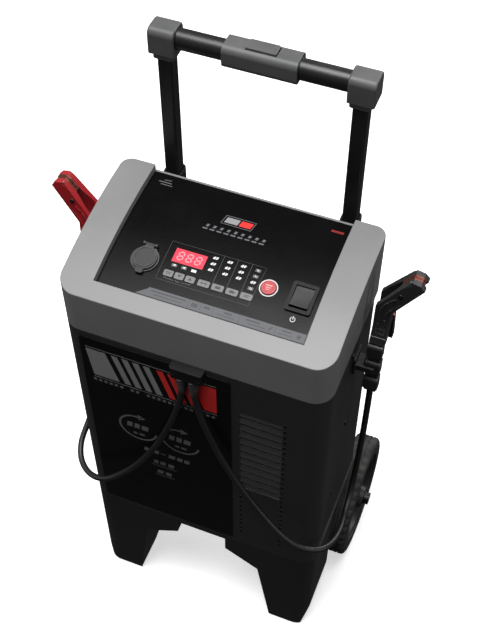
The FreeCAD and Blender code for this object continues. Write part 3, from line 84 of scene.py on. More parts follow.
camera = bpy.data.objects.new("camera", bpy.data.cameras.new("camera"))
camera.data.lens = camera_lens
camera.matrix_world = camera_matrix(camera_place, camera_yaw, camera_pitch, camera_roll)
bpy.context.scene.collection.objects.link(camera)
bpy.context.scene.camera = camera
print("camera looks down by", round(math.degrees(camera_pitch)), "degrees")

# %% [markdown]
# ## The two leads
# Each lead is one length of flexible cable. It drops out of the hood, sags across
# the front, turns round a corner of the body and climbs to the boot of its clamp.
# A NURBS curve is the right tool: a few control points make one smooth line, and
# the curve's own bevel gives it thickness. The points are the ones that the solid
# tubes follow. Order and end point are set after the points exist.

# %% Lead routes and curves
front_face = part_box("front_shell")[0].y       # the body's front
shell_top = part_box("front_shell")[1].z        # the bezel's lower edge
lead_diameter = 9 * MM
# x, depth behind the body's front, height below the bezel, in millimetres
right_route = [
    (5.5, -6.5, 26), (5.5, -6.5, 54), (13, -9, 90), (27, -11, 131.5), (44, -12.5, 176.5),
    (66.5, -14, 221), (92.5, -16.5, 261), (119.5, -19.5, 294), (146.5, -22.5, 318.5),
    (175, -18.5, 333), (196.5, -0.5, 343.5), (204, 26, 354.5), (204, 53, 367), (201, 82.5, 370.5),
    (199, 110, 357.5), (198, 127.5, 330.5), (199, 129, 294.5), (200.5, 129, 254),
    (201.5, 127.5, 208.5), (202, 127.5, 158.5), (202, 127.5, 110),
]
left_route = [
    (-10.5, -6.5, 26), (-10.5, -6.5, 54), (-18, -9, 92), (-31, -11, 135), (-47, -12.5, 180.5),
    (-66.5, -14, 224.5), (-88.5, -17, 264), (-113, -20, 296.5), (-138, -25, 321),
    (-167, -20.5, 332), (-191, -3, 333), (-204, 23, 326), (-203, 51, 310.5), (-202, 79, 289.5),
    (-200, 102.5, 260.5), (-200, 117.5, 225.5), (-201.5, 125, 188), (-202, 127.5, 148),
    (-202, 127.5, 110),
]


def in_frame(x, depth, below):
    return Vector((x * MM, front_face + depth * MM, shell_top - below * MM))


def make_lead(name, route):
    curve = bpy.data.curves.new(name, "CURVE")
    curve.dimensions = "3D"
    curve.bevel_depth = 1.0                   # thickness comes from each point's radius
    curve.bevel_resolution = 6
    curve.resolution_u = 12
    curve.use_fill_caps = True
    spline = curve.splines.new("NURBS")
    spline.points.add(len(route) - 1)
    for point, place in zip(spline.points, route):
        point.co = (*in_frame(*place), 1)
        point.radius = lead_diameter / 2
    spline.order_u = 3
    spline.use_endpoint_u = True
    lead = bpy.data.objects.new(name, curve)
    bpy.context.scene.collection.objects.link(lead)
    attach(lead, "chassis")
    return lead


leads = {"black": make_lead("output_lead_right", right_route),
    "red": make_lead("output_lead_left", left_route)}
for colour, solid in (("black", "lead_right"), ("red", "lead_left")):
    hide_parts(solid)
print("two leads of", len(right_route), "and", len(left_route), "points")

# %% [markdown]
# ## Node groups that several finishes share
# Moulded plastic is never one flat value. It has a fine eroded grain, a slow
# variation of tone, paler edges where hands and doorways have rubbed, a little dust
# on what faces up, and hairline scuffs in the gloss. Each effect is one node group
# with named sockets, built once and placed in every material that shows it.

# %% A small helper to make node groups
def start_group(name, inputs, outputs):
    group = bpy.data.node_groups.new(name, "ShaderNodeTree")
    for label, value in inputs:
        socket = group.interface.new_socket(label, in_out="INPUT", socket_type="NodeSocketFloat")
        socket.default_value = value
    for label in outputs:
        group.interface.new_socket(label, in_out="OUTPUT", socket_type="NodeSocketFloat")
    return group, group.nodes.new("NodeGroupInput"), group.nodes.new("NodeGroupOutput")


def add_node(tree, kind, inputs=(), **settings):
    """one node; inputs are (socket, value or output to link from)"""
    node = tree.nodes.new(kind)
    for key, value in settings.items():
        setattr(node, key, value)
    for socket, value in inputs:
        if isinstance(value, bpy.types.NodeSocket):
            tree.links.new(value, node.inputs[socket])
        else:
            node.inputs[socket].default_value = value
    return node


def math_node(tree, operation, a, b=0.0, clamp=False):
    return add_node(tree, "ShaderNodeMath", ((0, a), (1, b)), operation=operation,
        use_clamp=clamp).outputs[0]


def object_place(tree):
    return tree.nodes.new("ShaderNodeTexCoord").outputs["Object"]


# %% Grain: the eroded surface of a moulding tool, and slow changes of tone
grain, grain_in, grain_out = start_group("moulded grain", [("Scale", 900.0), ("Patch Scale", 14.0)],
    ["Height", "Tone"])
place = object_place(grain)
fine = add_node(grain, "ShaderNodeTexNoise",
    (("Vector", place), ("Scale", grain_in.outputs["Scale"]), ("Detail", 2.0)))
cells = add_node(grain, "ShaderNodeTexVoronoi", (("Vector", place), ("Scale", grain_in.outputs["Scale"])))
patches = add_node(grain, "ShaderNodeTexNoise",
    (("Vector", place), ("Scale", grain_in.outputs["Patch Scale"]), ("Detail", 4.0)))
height = math_node(grain, "ADD", fine.outputs["Fac"],
    math_node(grain, "MULTIPLY", cells.outputs["Distance"], 0.6))
grain.links.new(height, grain_out.inputs["Height"])
grain.links.new(patches.outputs["Fac"], grain_out.inputs["Tone"])
print("grain group:", len(grain.nodes), "nodes")

# %% Edge wear: where a rounded normal leaves the true one, broken up by noise
wear, wear_in, wear_out = start_group("edge wear", [("Radius", 0.0015), ("Amount", 0.5), ("Scale", 60.0)],
    ["Wear"])
geometry = wear.nodes.new("ShaderNodeNewGeometry")
rounded = add_node(wear, "ShaderNodeBevel", (("Radius", wear_in.outputs["Radius"]),), samples=4)
along = add_node(wear, "ShaderNodeVectorMath",
    ((0, geometry.outputs["Normal"]), (1, rounded.outputs["Normal"])), operation="DOT_PRODUCT")
edge = math_node(wear, "MULTIPLY", math_node(wear, "SUBTRACT", 1.0, along.outputs["Value"]), 9.0,
    clamp=True)
patchy = add_node(wear, "ShaderNodeTexNoise",
    (("Vector", object_place(wear)), ("Scale", wear_in.outputs["Scale"]), ("Detail", 6.0)))
broken = math_node(wear, "SUBTRACT", math_node(wear, "MULTIPLY", patchy.outputs["Fac"], 2.2), 0.6,
    clamp=True)
worn = math_node(wear, "MULTIPLY", math_node(wear, "MULTIPLY", edge, broken), wear_in.outputs["Amount"],
    clamp=True)
wear.links.new(worn, wear_out.inputs["Wear"])
print("edge wear group:", len(wear.nodes), "nodes")

# %% Dust: more on what faces up, in soft clouds
dust, dust_in, dust_out = start_group("settled dust", [("Amount", 0.2), ("Scale", 25.0)], ["Dust"])
facing = add_node(dust, "ShaderNodeSeparateXYZ",
    (("Vector", dust.nodes.new("ShaderNodeNewGeometry").outputs["Normal"]),))
up = math_node(dust, "MAXIMUM", facing.outputs["Z"], 0.12)
clouds = add_node(dust, "ShaderNodeTexNoise",
    (("Vector", object_place(dust)), ("Scale", dust_in.outputs["Scale"]), ("Detail", 8.0),
        ("Roughness", 0.62)))
cloudy = math_node(dust, "SUBTRACT", math_node(dust, "MULTIPLY", clouds.outputs["Fac"], 2.0), 0.65,
    clamp=True)
dusty = math_node(dust, "MULTIPLY", math_node(dust, "MULTIPLY", up, cloudy), dust_in.outputs["Amount"],
    clamp=True)
dust.links.new(dusty, dust_out.inputs["Dust"])

# %% Scuffs: hairlines where two stretched noises cross a narrow level
scuff, scuff_in, scuff_out = start_group("hairline scuffs", [("Scale", 40.0), ("Amount", 0.5)], ["Scuff"])
lines = None
for turn in (0.5, 2.1):
    spun = add_node(scuff, "ShaderNodeMapping",
        (("Vector", object_place(scuff)), ("Rotation", (turn, 0.4, turn)), ("Scale", (1.0, 14.0, 1.0))))
    noise = add_node(scuff, "ShaderNodeTexNoise",
        (("Vector", spun.outputs[0]), ("Scale", scuff_in.outputs["Scale"]), ("Detail", 2.0)))
    level = math_node(scuff, "ABSOLUTE", math_node(scuff, "SUBTRACT", noise.outputs["Fac"], 0.5))
    line = math_node(scuff, "SUBTRACT", 1.0, math_node(scuff, "MULTIPLY", level, 45.0), clamp=True)
    lines = line if lines is None else math_node(scuff, "MAXIMUM", lines, line)
scuff.links.new(math_node(scuff, "MULTIPLY", lines, scuff_in.outputs["Amount"], clamp=True),
    scuff_out.inputs["Scuff"])
print("dust and scuff groups ready")

# %% [markdown]
# ## The finishes
# Every finish is built by one of three recipes: moulded (plastic and rubber), metal,
# and lit (things that glow). A recipe puts the shared groups round one Principled
# shader. Values that are the same all over, such as Metallic, go straight on the
# shader's own sockets.

# %% Recipes
def mixed(tree, factor, a, b):
    node = add_node(tree, "ShaderNodeMix", data_type="RGBA")
    for index, value in ((0, factor), (6, a), (7, b)):
        if isinstance(value, bpy.types.NodeSocket):
            tree.links.new(value, node.inputs[index])
        else:
            node.inputs[index].default_value = value if index == 0 else (*value, 1.0)
    return node.outputs[2]


def new_finish(name):
    material = bpy.data.materials.new(name)
    material.use_nodes = True
    tree = material.node_tree
    return material, tree, tree.nodes["Principled BSDF"]


def shared(tree, group, **values):
    node = tree.nodes.new("ShaderNodeGroup")
    node.node_tree = group
    for label, value in values.items():
        node.inputs[label.replace("_", " ")].default_value = value
    return node


def rough_of(tree, low, high, mask):
    span = add_node(tree, "ShaderNodeMapRange", (("Value", mask), ("To Min", low), ("To Max", high)))
    return span.outputs["Result"]


def moulded(name, colour, rough, grain_scale=900.0, bump=0.25, wear_amount=0.35, worn_to=0.35,
        dust_amount=0.15, scuffs=0.0,
            tone=0.12, coat=0.0, patch=14.0, specular=0.5):
    """plastic or rubber: grain, tone, worn edges, dust and, on gloss, scuffs"""
    material, tree, shader = new_finish(name)
    surface = shared(tree, grain, Scale=grain_scale, Patch_Scale=patch)
    darker = tuple(c * (1 - tone) for c in colour)
    lighter = tuple(min(c * (1 + tone), 1) for c in colour)
    base = mixed(tree, surface.outputs["Tone"], darker, lighter)
    worn_colour = tuple(c + (worn_to - c) * 0.35 for c in colour)
    edges = shared(tree, wear, Radius=0.0013, Amount=wear_amount, Scale=60.0)
    base = mixed(tree, edges.outputs["Wear"], base, worn_colour)
    powder = shared(tree, dust, Amount=dust_amount, Scale=22.0)
    base = mixed(tree, powder.outputs["Dust"], base, (0.36, 0.35, 0.33))
    tree.links.new(base, shader.inputs["Base Color"])
    roughness = rough_of(tree, rough - 0.06, rough + 0.08, surface.outputs["Tone"])
    if scuffs:
        hair = shared(tree, scuff, Scale=30.0, Amount=scuffs)
        roughness = math_node(tree, "ADD", roughness,
            math_node(tree, "MULTIPLY", hair.outputs["Scuff"], 0.3), clamp=True)
    roughness = math_node(tree, "ADD", roughness, math_node(tree, "MULTIPLY", powder.outputs["Dust"], 0.4),
        clamp=True)
    tree.links.new(roughness, shader.inputs["Roughness"])
    relief = add_node(tree, "ShaderNodeBump",
        (("Strength", bump), ("Distance", 0.0002), ("Height", surface.outputs["Height"])))
    tree.links.new(relief.outputs["Normal"], shader.inputs["Normal"])
    shader.inputs["Coat Weight"].default_value = coat
    shader.inputs["Coat Roughness"].default_value = 0.12
    shader.inputs["Specular IOR Level"].default_value = specular
    return material


def metal(name, colour, rough, stain, scratch=0.5):
    """bare or plated metal: drawn scratches, and stain in the patches"""
    material, tree, shader = new_finish(name)
    surface = shared(tree, grain, Scale=500.0, Patch_Scale=40.0)
    hair = shared(tree, scuff, Scale=60.0, Amount=scratch)
    base = mixed(tree, surface.outputs["Tone"], stain, colour)
    bright = tuple(min(c * 1.25, 1) for c in colour)
    base = mixed(tree, hair.outputs["Scuff"], base, bright)
    tree.links.new(base, shader.inputs["Base Color"])
    tree.links.new(rough_of(tree, rough + 0.15, rough - 0.08, surface.outputs["Tone"]),
        shader.inputs["Roughness"])
    relief = add_node(tree, "ShaderNodeBump",
        (("Strength", 0.15), ("Distance", 0.0001), ("Height", hair.outputs["Scuff"])))
    tree.links.new(relief.outputs["Normal"], shader.inputs["Normal"])
    shader.inputs["Metallic"].default_value = 1.0
    return material


def lit(name, colour, glow, strength, rough=0.3):
    """a lamp or a lit print: its glow is a little uneven, as a real diffuser's is"""
    material, tree, shader = new_finish(name)
    surface = shared(tree, grain, Scale=700.0, Patch_Scale=120.0)
    dimmer = tuple(c * 0.75 for c in glow)
    tree.links.new(mixed(tree, surface.outputs["Tone"], dimmer, glow), shader.inputs["Emission Color"])
    tree.links.new(mixed(tree, surface.outputs["Tone"], tuple(c * 0.8 for c in colour), colour),
        shader.inputs["Base Color"])
    shader.inputs["Emission Strength"].default_value = strength
    tree.links.new(rough_of(tree, rough - 0.05, rough + 0.1, surface.outputs["Tone"]),
        shader.inputs["Roughness"])
    return material


# %% The charger's own finishes
finish = {
    "bezel_grey": moulded("bezel grey plastic", (0.192, 0.192, 0.194), 0.42, bump=0.3, wear_amount=0.25,
        worn_to=0.6, dust_amount=0.10),
    "body_black": moulded("body charcoal plastic", (0.0175, 0.0182, 0.0192), 0.48, bump=0.4,
        wear_amount=0.4, dust_amount=0.06),
    # darker than the body: partly the base's own black, partly painted shade that marks the gap at the body
    # joint
    "base_black_with_painted_shade": moulded("base black plastic with painted joint shade", (0.0095, 0.0098, 0.0103), 0.5, bump=0.4, wear_amount=0.4,
        dust_amount=0.1),
    "rear_black": moulded("rear black plastic", (0.010, 0.0102, 0.0108), 0.46, bump=0.4, wear_amount=0.4),
    "trim_black": moulded("trim black plastic", (0.0095, 0.0097, 0.0102), 0.42, bump=0.25),
    "overlay_black": moulded("printed overlay", (0.0018, 0.0018, 0.0019), 0.28, grain_scale=1500.0,
        bump=0.04, wear_amount=0.1, dust_amount=0.006, scuffs=0.25, specular=0.1),
    "label_black": moulded("printed label", (0.002, 0.0022, 0.0025), 0.32, grain_scale=1500.0, bump=0.05,
        wear_amount=0.1, dust_amount=0.008, scuffs=0.3, specular=0.15),
    "tube_black": moulded("black powder coat", (0.006, 0.006, 0.0065), 0.36, grain_scale=1300.0, bump=0.3,
        wear_amount=0.4, dust_amount=0.03),
    "cap_grey": moulded("grip grey plastic", (0.078, 0.079, 0.081), 0.46, grain_scale=700.0, bump=0.45,
        wear_amount=0.35, worn_to=0.5),
    "tyre": moulded("tyre rubber", (0.013, 0.013, 0.0135), 0.72, grain_scale=500.0, bump=0.5,
        wear_amount=0.5, worn_to=0.25, dust_amount=0.35),
    "rim_black": moulded("wheel plastic", (0.016, 0.016, 0.017), 0.45, bump=0.3),
    "rubber_black": moulded("soft rubber", (0.02, 0.0205, 0.0215), 0.6, grain_scale=1100.0, bump=0.2,
        dust_amount=0.12),
    "cap_black": moulded("outlet cap rubber", (0.012, 0.012, 0.0125), 0.55, grain_scale=1100.0, bump=0.2,
        dust_amount=0.05),
    "grille_grey": moulded("grille slats", (0.042, 0.0425, 0.044), 0.5, bump=0.3, wear_amount=0.3,
        dust_amount=0.1),
    "hood_black": moulded("hood black plastic", (0.003, 0.003, 0.0032), 0.5, bump=0.2, wear_amount=0.2,
        dust_amount=0.01, specular=0.25),
    "lead_black": moulded("lead sheath", (0.006, 0.0062, 0.0066), 0.4, grain_scale=700.0, bump=0.12,
        wear_amount=0.0, dust_amount=0.03, scuffs=0.3),
    "clamp_black": moulded("clamp black plastic", (0.014, 0.0145, 0.0155), 0.42, bump=0.3, wear_amount=0.6,
        worn_to=0.4),
    "clamp_red": moulded("clamp red plastic", (0.36, 0.009, 0.014), 0.4, bump=0.3, wear_amount=0.4,
        worn_to=0.6, dust_amount=0.05),
    "copper": metal("jaw copper", (0.50, 0.20, 0.155), 0.36, (0.24, 0.085, 0.07)),
    "steel": metal("zinc plated steel", (0.42, 0.42, 0.43), 0.34, (0.28, 0.28, 0.29)),
    "dark_steel": metal("blackened steel", (0.06, 0.06, 0.065), 0.4, (0.03, 0.03, 0.03)),
    "key_grey": moulded("key grey", (0.15, 0.15, 0.155), 0.5, grain_scale=1200.0, bump=0.2, wear_amount=0.4,
        worn_to=0.5, dust_amount=0.04),
    "button_red": moulded("start button red", (0.40, 0.006, 0.012), 0.3, grain_scale=1200.0, bump=0.1,
        wear_amount=0.2, dust_amount=0.03, coat=0.3),
    "rocker_black": moulded("rocker plastic", (0.017, 0.0172, 0.018), 0.38, bump=0.2, wear_amount=0.35),
    "print_white": moulded("white print", (0.62, 0.62, 0.62), 0.5, grain_scale=1500.0, bump=0.05,
        wear_amount=0.0, dust_amount=0.02),
    "print_grey": moulded("grey print", (0.10, 0.103, 0.11), 0.5, grain_scale=1500.0, bump=0.05,
        wear_amount=0.0, dust_amount=0.02),
    "print_silver": moulded("silver print", (0.25, 0.25, 0.26), 0.42, grain_scale=2200.0, bump=0.2,
        wear_amount=0.0, dust_amount=0.02, tone=0.25, patch=900.0),
    "print_dark": moulded("dark print", (0.02, 0.021, 0.023), 0.5, grain_scale=1500.0, bump=0.05,
        wear_amount=0.0, dust_amount=0.02),
    "print_strip": moulded("strip print", (0.062, 0.064, 0.072), 0.5, grain_scale=1500.0, bump=0.05,
        wear_amount=0.0, dust_amount=0.02),
    "print_red_dim": moulded("dim red print", (0.22, 0.008, 0.01), 0.45, grain_scale=1500.0, bump=0.05,
        wear_amount=0.0, dust_amount=0.02),
    "print_pink": moulded("pink print", (0.75, 0.3, 0.3), 0.45, grain_scale=1500.0, bump=0.05,
        wear_amount=0.0, dust_amount=0.02),
    "print_label": moulded("label print", (0.14, 0.14, 0.145), 0.5, grain_scale=1500.0, bump=0.05,
        wear_amount=0.0, dust_amount=0.02),
    "lens_dim": moulded("unlit lens", (0.10, 0.10, 0.10), 0.3, grain_scale=1500.0, bump=0.05,
        wear_amount=0.0, dust_amount=0.02),
    # painted shade: the shadow inside the small holes, given as a flat dark colour
    "hole_painted_shade": moulded("painted shade inside a hole", (0.003, 0.003, 0.003), 0.7, grain_scale=900.0, bump=0.1,
        wear_amount=0.0, dust_amount=0.0, specular=0.1),
    "print_red": moulded("red print", (0.72, 0.022, 0.02), 0.42, grain_scale=1500.0, bump=0.05,
        wear_amount=0.0, dust_amount=0.02),
    "window_red": lit("display window", (0.35, 0.006, 0.02), (1.0, 0.035, 0.09), 0.62),
    "digit_lit": lit("display digits", (0.6, 0.15, 0.18), (1.0, 0.22, 0.27), 1.05),
    "lens_white": lit("indicator lens", (0.6, 0.6, 0.6), (1.0, 1.0, 1.0), 0.25),
    "board_green": moulded("circuit board", (0.02, 0.11, 0.045), 0.45, grain_scale=400.0, bump=0.2,
        dust_amount=0.2),
    "iron": moulded("varnished iron", (0.07, 0.07, 0.075), 0.5, grain_scale=300.0, bump=0.5,
        dust_amount=0.2),
    "winding": metal("enamelled winding", (0.5, 0.2, 0.08), 0.35, (0.32, 0.12, 0.05)),
    "aluminium": metal("extruded aluminium", (0.6, 0.6, 0.62), 0.36, (0.45, 0.45, 0.46)),
}


def dress(piece, name):
    """every material slot of a piece gets this finish"""
    if not piece.material_slots:
        piece.data.materials.append(finish[name])
    for slot in piece.material_slots:
        slot.material = finish[name]
    return piece


for lead in leads.values():
    dress(lead, "lead_black")
print(len(finish), "finishes")

# %% [markdown]
# ## Rounded edges on the moulded parts
# The engineering solids have knife edges. A real moulding has a small radius, and
# that radius catches the light. We copy the solid's mesh, merge the flat triangles
# into clean faces, add a Bevel modifier and let Weighted Normal keep the big faces
# flat. The copy then stands for the solid, which stays for the physics.


def own_copy(node, name, width, segments, dissolve=2.0, keep_angle=28.0):
    mesh = nodes[node].data.copy()
    work = bmesh.new()
    work.from_mesh(mesh)
    bmesh.ops.remove_doubles(work, verts=work.verts, dist=0.00001)
    bmesh.ops.dissolve_limit(work, angle_limit=math.radians(dissolve), verts=work.verts, edges=work.edges)
    work.to_mesh(mesh)
    work.free()
    mesh.shade_smooth()
    mesh.set_sharp_from_angle(angle=math.radians(keep_angle))
    piece = bpy.data.objects.new(name, mesh)
    bpy.context.scene.collection.objects.link(piece)
    bevel = piece.modifiers.new("rounded edges", "BEVEL")
    bevel.width = width * MM
    bevel.segments = segments
    bevel.limit_method = "ANGLE"
    bevel.angle_limit = math.radians(keep_angle)
    bevel.use_clamp_overlap = True
    even = piece.modifiers.new("even shading", "WEIGHTED_NORMAL")
    even.keep_sharp = False
    return piece


def rounded_piece(node, width, look, segments=2):
    """a softened copy of a solid, riding where the solid rides"""
    piece = own_copy(node, node + "_finished", width, segments)
    dress(piece, look)
    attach(piece, body_of[node])
    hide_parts(node)
    return piece


# %% What gets rounded, by how much, and in which finish
rounded_list = [
    ("bezel", 1.0, "bezel_grey"), ("front_shell", 0.8, "body_black"), ("rear_shell", 0.8, "rear_black"),
    ("base", 1.4, "base_black_with_painted_shade"), ("foot_pads", 1.0, "rubber_black"), ("lead_hood", 1.0, "hood_black"),
    ("corner_caps", 1.2, "cap_grey"), ("handle_grip", 1.6, "cap_grey"), ("release_button", 0.7, "cap_grey"),
    ("switch_housing", 0.6, "hood_black"), ("power_rocker", 0.7, "rocker_black"),
    ("start_button", 0.7, "button_red"),
    ("outlet_cap", 0.6, "cap_black"), ("outlet_socket", 0.3, "trim_black"), 
    ("sleeve_brackets", 0.8, "trim_black"), ("handle_sleeves", 0.5, "tube_black"),
    ("mains_inlet", 0.6, "rubber_black"),
    ("clamp_holders", 0.6, "trim_black"), ("clamp_black_front_arm", 0.9, "clamp_black"),
    ("clamp_black_rear_arm", 0.9, "clamp_black"),
    ("clamp_red_front_arm", 0.9, "clamp_red"), ("clamp_red_rear_arm", 0.9, "clamp_red"),
    ("wheel_rim_right", 0.8, "rim_black"), ("wheel_rim_left", 0.8, "rim_black"),
    ("label_panel", 0.25, "label_black"),
]
rounded_list += [("key_" + str(k), 0.4, "key_grey") for k in range(1, 8)]
pieces = {}
for node, width, look in rounded_list:
    pieces[node] = rounded_piece(node, width, look)
print(len(pieces), "rounded pieces")

# %% The solids that stay as they are only change their finish
plain_list = {
    "axle": "steel", "control_panel": "overlay_black", "display_window": "window_red",
    "indicator_lights": "lens_white",
    "lead_glands": "rubber_black", "screws_and_pins": "dark_steel", "control_board": "board_green",
    "transformer_core": "iron",
    "transformer_winding": "winding", "power_board": "board_green", "heat_sink": "aluminium",
    "output_terminals": "copper",
    "fan_frame": "trim_black", "fan_rotor": "trim_black", "handle_tubes": "tube_black",
    "latch_yoke": "steel",
    "latch_pin_right": "steel", "latch_pin_left": "steel", "post_guides": "trim_black",
    "clamp_black_rear_jaw": "copper",
    "clamp_red_rear_jaw": "copper", "clamp_black_metalwork": "copper", "clamp_red_metalwork": "copper",
}
for node, look in plain_list.items():
    dress(nodes[node], look)
print(len(plain_list), "solids dressed")
# %% [markdown]
# ## Printing on the control panel
# The panel carries a keypad frame, an icon strip, the marks on the keys and a power
# symbol. A texture image would need a file and would blur close up. We cut each mark
# out as a thin sheet of ink instead. Every corner of a mark is dropped onto the
# curved panel by a ray cast, so the ink follows the surface wherever it lies.

# %% Ray casting onto a solid
def caster(node):
    mesh = nodes[node].data
    return BVHTree.FromPolygons([v.co for v in mesh.vertices], [tuple(f.vertices) for f in mesh.polygons])


panel_tree = caster("control_panel")
label_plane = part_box("label_panel")[0].y


def on_panel(x, depth, lift=0.18):
    """a place on the control panel: x, and depth behind the bezel's front face, in mm"""
    start = Vector((-0.126, front_face + depth * MM, 2.0))      # a column with no holes
    hit = panel_tree.ray_cast(start, Vector((0, 0, -1)))[0]
    return Vector((x * MM, hit.y, hit.z + lift * MM))


def on_label(x, height, lift=0.12):
    """a place on the front label: x and height above the floor, in mm"""
    return Vector((x * MM, label_plane - lift * MM, height * MM))


print("the panel is", round(on_panel(0, 60).z * 1000), "mm up at the keys and",
    round(on_panel(0, 160).z * 1000), "mm at the back")

# %% [markdown]
# A mark is a list of small flat shapes. Three makers cover nearly all of them: a
# patch is a rectangle cut into a grid so that it can bend with the panel, a ribbon is
# a line of even width along points, and a disc is a round patch.

# %% Shapes of ink
def patch(x0, x1, v0, v1, lean=0.0, step=7.0):
    """a grid of rectangles; lean shifts the far edge sideways"""
    across, along = max(1, round((x1 - x0) / step)), max(1, round((v1 - v0) / step))
    shapes = []
    for i in range(across):
        for k in range(along):
            cell = []
            for a, b in ((i, k), (i + 1, k), (i + 1, k + 1), (i, k + 1)):
                cell.append((x0 + (x1 - x0) * a / across + lean * b / along, v0 + (v1 - v0) * b / along))
            shapes.append(cell)
    return shapes


def ribbon(points, width, closed=False):
    """a line of even width; long runs are cut so that they can bend"""
    points = [Vector(p) for p in points]
    if closed:
        points.append(points[0].copy())
    fine = [points[0]]
    for a, b in zip(points, points[1:]):
        cuts = max(1, round((b - a).length / 6.0))
        fine += [a.lerp(b, k / cuts) for k in range(1, cuts + 1)]
    sides = []
    for i, p in enumerate(fine):
        before = fine[i - 1] if i else (fine[-2] if closed else p)
        after = fine[i + 1] if i + 1 < len(fine) else (fine[1] if closed else p)
        ahead = (after - before).normalized()
        across = Vector((-ahead.y, ahead.x)) * width / 2
        sides.append((p - across, p + across))
    return [[a[0], b[0], b[1], a[1]] for a, b in zip(sides, sides[1:])]


def arc(cx, cy, radius, start, end, tall=1.0, count=24):
    """points along part of a circle or ellipse, angles in degrees"""
    turns = [math.radians(start + (end - start) * k / count) for k in range(count + 1)]
    return [(cx + radius * math.cos(t), cy + radius * tall * math.sin(t)) for t in turns]


def disc(cx, cy, radius, tall=1.0):
    return [arc(cx, cy, radius, 0, 360, tall, 20)[:-1]]


def frame_line(x0, x1, v0, v1, width):
    return ribbon([(x0, v0), (x1, v0), (x1, v1), (x0, v1)], width, closed=True)


# %% From shapes to a sheet of ink
def ink(name, shapes, look, place, rides="chassis", thick=0.08):
    """thin closed plates, one for each shape, laid on a surface by place(u, v)"""
    mesh = bpy.data.meshes.new(name)
    work = bmesh.new()
    for shape in shapes:
        face = work.faces.new([work.verts.new(place(*p)) for p in shape])
        face.normal_update()
    bmesh.ops.recalc_face_normals(work, faces=work.faces)
    bmesh.ops.solidify(work, geom=work.faces[:], thickness=thick * MM)
    bmesh.ops.recalc_face_normals(work, faces=work.faces)
    work.to_mesh(mesh)
    work.free()
    sheet = bpy.data.objects.new(name, mesh)
    bpy.context.scene.collection.objects.link(sheet)
    dress(sheet, look)
    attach(sheet, rides)
    return sheet


# %% [markdown]
# ## The display
# Three seven-segment digits glow behind the red window. Each segment is a six-sided
# bar, and the digits lean a little, as they do on every charger and alarm clock.

# %% Seven segments
def segment(cx, cy, half, thin, upright):
    outline = [(-half, 0), (-half + thin, thin), (half - thin, thin), (half, 0), (half - thin, -thin),
        (-half + thin, -thin)]
    return [[(cx + v, cy + u) if upright else (cx + u, cy + v) for u, v in outline]]


def eight(cx, cy, wide, high, thin):
    """the digit that lights all seven segments"""
    w, h = wide / 2, high / 2
    shapes = []
    for level in (-h, 0, h):
        shapes += segment(cx, cy + level, w - 0.5, thin, False)
    for side in (-w, w):
        for level in (-h / 2, h / 2):
            shapes += segment(cx + side, cy + level, h / 2 - 0.5, thin, True)
    return [[(x + (y - cy) * 0.12, y) for x, y in shape] for shape in shapes]


window_low, window_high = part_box("display_window")
window_left, window_right = window_low.x / MM, window_high.x / MM
window_middle = (window_low.y + window_high.y) / 2 / MM - front_face / MM
digits = []
for k in (-1, 0, 1):
    digits += eight((window_left + window_right) / 2 + k * 11.6, window_middle, 6.6, 11.0, 0.85)
window_tree = caster("display_window")


def on_window(x, depth):
    hit = window_tree.ray_cast(Vector((x * MM, front_face + depth * MM, 2.0)), Vector((0, 0, -1)))[0]
    return Vector((hit.x, hit.y, hit.z + 0.12 * MM))


ink("display_digits", digits, "digit_lit", on_window)
print("display:", len(digits), "segments")

# %% [markdown]
# ## Keypad prints
# A thin dark frame runs round the keys and lights, with faint lines between the
# columns. Each key has a pale face with a small dark picture, and the lights of the
# first three columns stand beside short pale dashes.

# %% Frame and separators
lines = ribbon([(-67.5, 111), (-67.5, 56), (54, 56)], 0.5)
lines += ribbon([(54, 56), (57.5, 111), (-67.5, 111)], 0.5)
for x in (2.4, 20.8, 39.4):
    lines += ribbon([(x, 66), (x, 111)], 0.7)
ink("keypad_frame", lines, "print_dark", on_panel)
ink("key_underline", ribbon([(-59, 60.2), (-45, 59.4)],
    0.5) + ribbon([(-43, 60.0), (-40, 58.6), (-37, 60.0)], 0.6) + ribbon([(-35, 59.4), (-22, 60.2)], 0.5),
    "print_grey", on_panel)

# %% Marks on the keys
def key_mark(kind, cx, cy):
    if kind == "bars":
        return patch(cx - 3.8, cx + 3.8, cy + 0.6, cy + 1.5) + patch(cx - 3.2, cx + 2.6, cy - 1.5, cy - 0.6)
    if kind == "down":
        return [[(cx - 2.6, cy + 1.6), (cx + 2.6, cy + 1.6), (cx, cy - 1.9)]]
    if kind == "up":
        return [[(cx - 2.6, cy - 1.6), (cx + 2.6, cy - 1.6), (cx, cy + 1.9)]]
    if kind == "battery":
        return patch(cx - 3.4, cx + 3.4, cy - 1.9, cy + 1.1) + patch(cx - 2.6, cx - 1.2, cy + 1.1,
            cy + 1.9) + patch(cx + 1.2, cx + 2.6, cy + 1.1, cy + 1.9)
    if kind == "engine":
        return patch(cx - 3.6, cx + 2.4, cy - 1.8, cy + 1.2) + patch(cx + 2.4, cx + 4.2, cy - 0.9,
            cy + 0.5) + patch(cx - 2.0, cx + 0.6, cy + 1.2, cy + 2.0)
    return patch(cx - 4.6, cx + 4.6, cy - 0.5, cy + 0.5) + patch(cx - 3.0, cx - 2.0, cy - 1.9,
        cy + 1.9) + patch(cx + 2.0, cx + 3.0, cy - 1.9, cy + 1.9)


def on_key(node):
    tree = caster(node)

    def place(x, depth):
        hit = tree.ray_cast(Vector((x * MM, front_face + depth * MM, 2.0)), Vector((0, 0, -1)))[0]
        return Vector((hit.x, hit.y, hit.z + 0.1 * MM))
    return place


for number, kind in enumerate(("bars", "down", "up", "link", "battery", "engine", "bars"), start=1):
    key = "key_" + str(number)
    low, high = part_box(key)
    middle_x = (low.x + high.x) / 2 / MM
    ink(key + "_mark", key_mark(kind, middle_x, 66.5), "print_dark", on_key(key), rides=body_of[key])
print("seven keys marked")

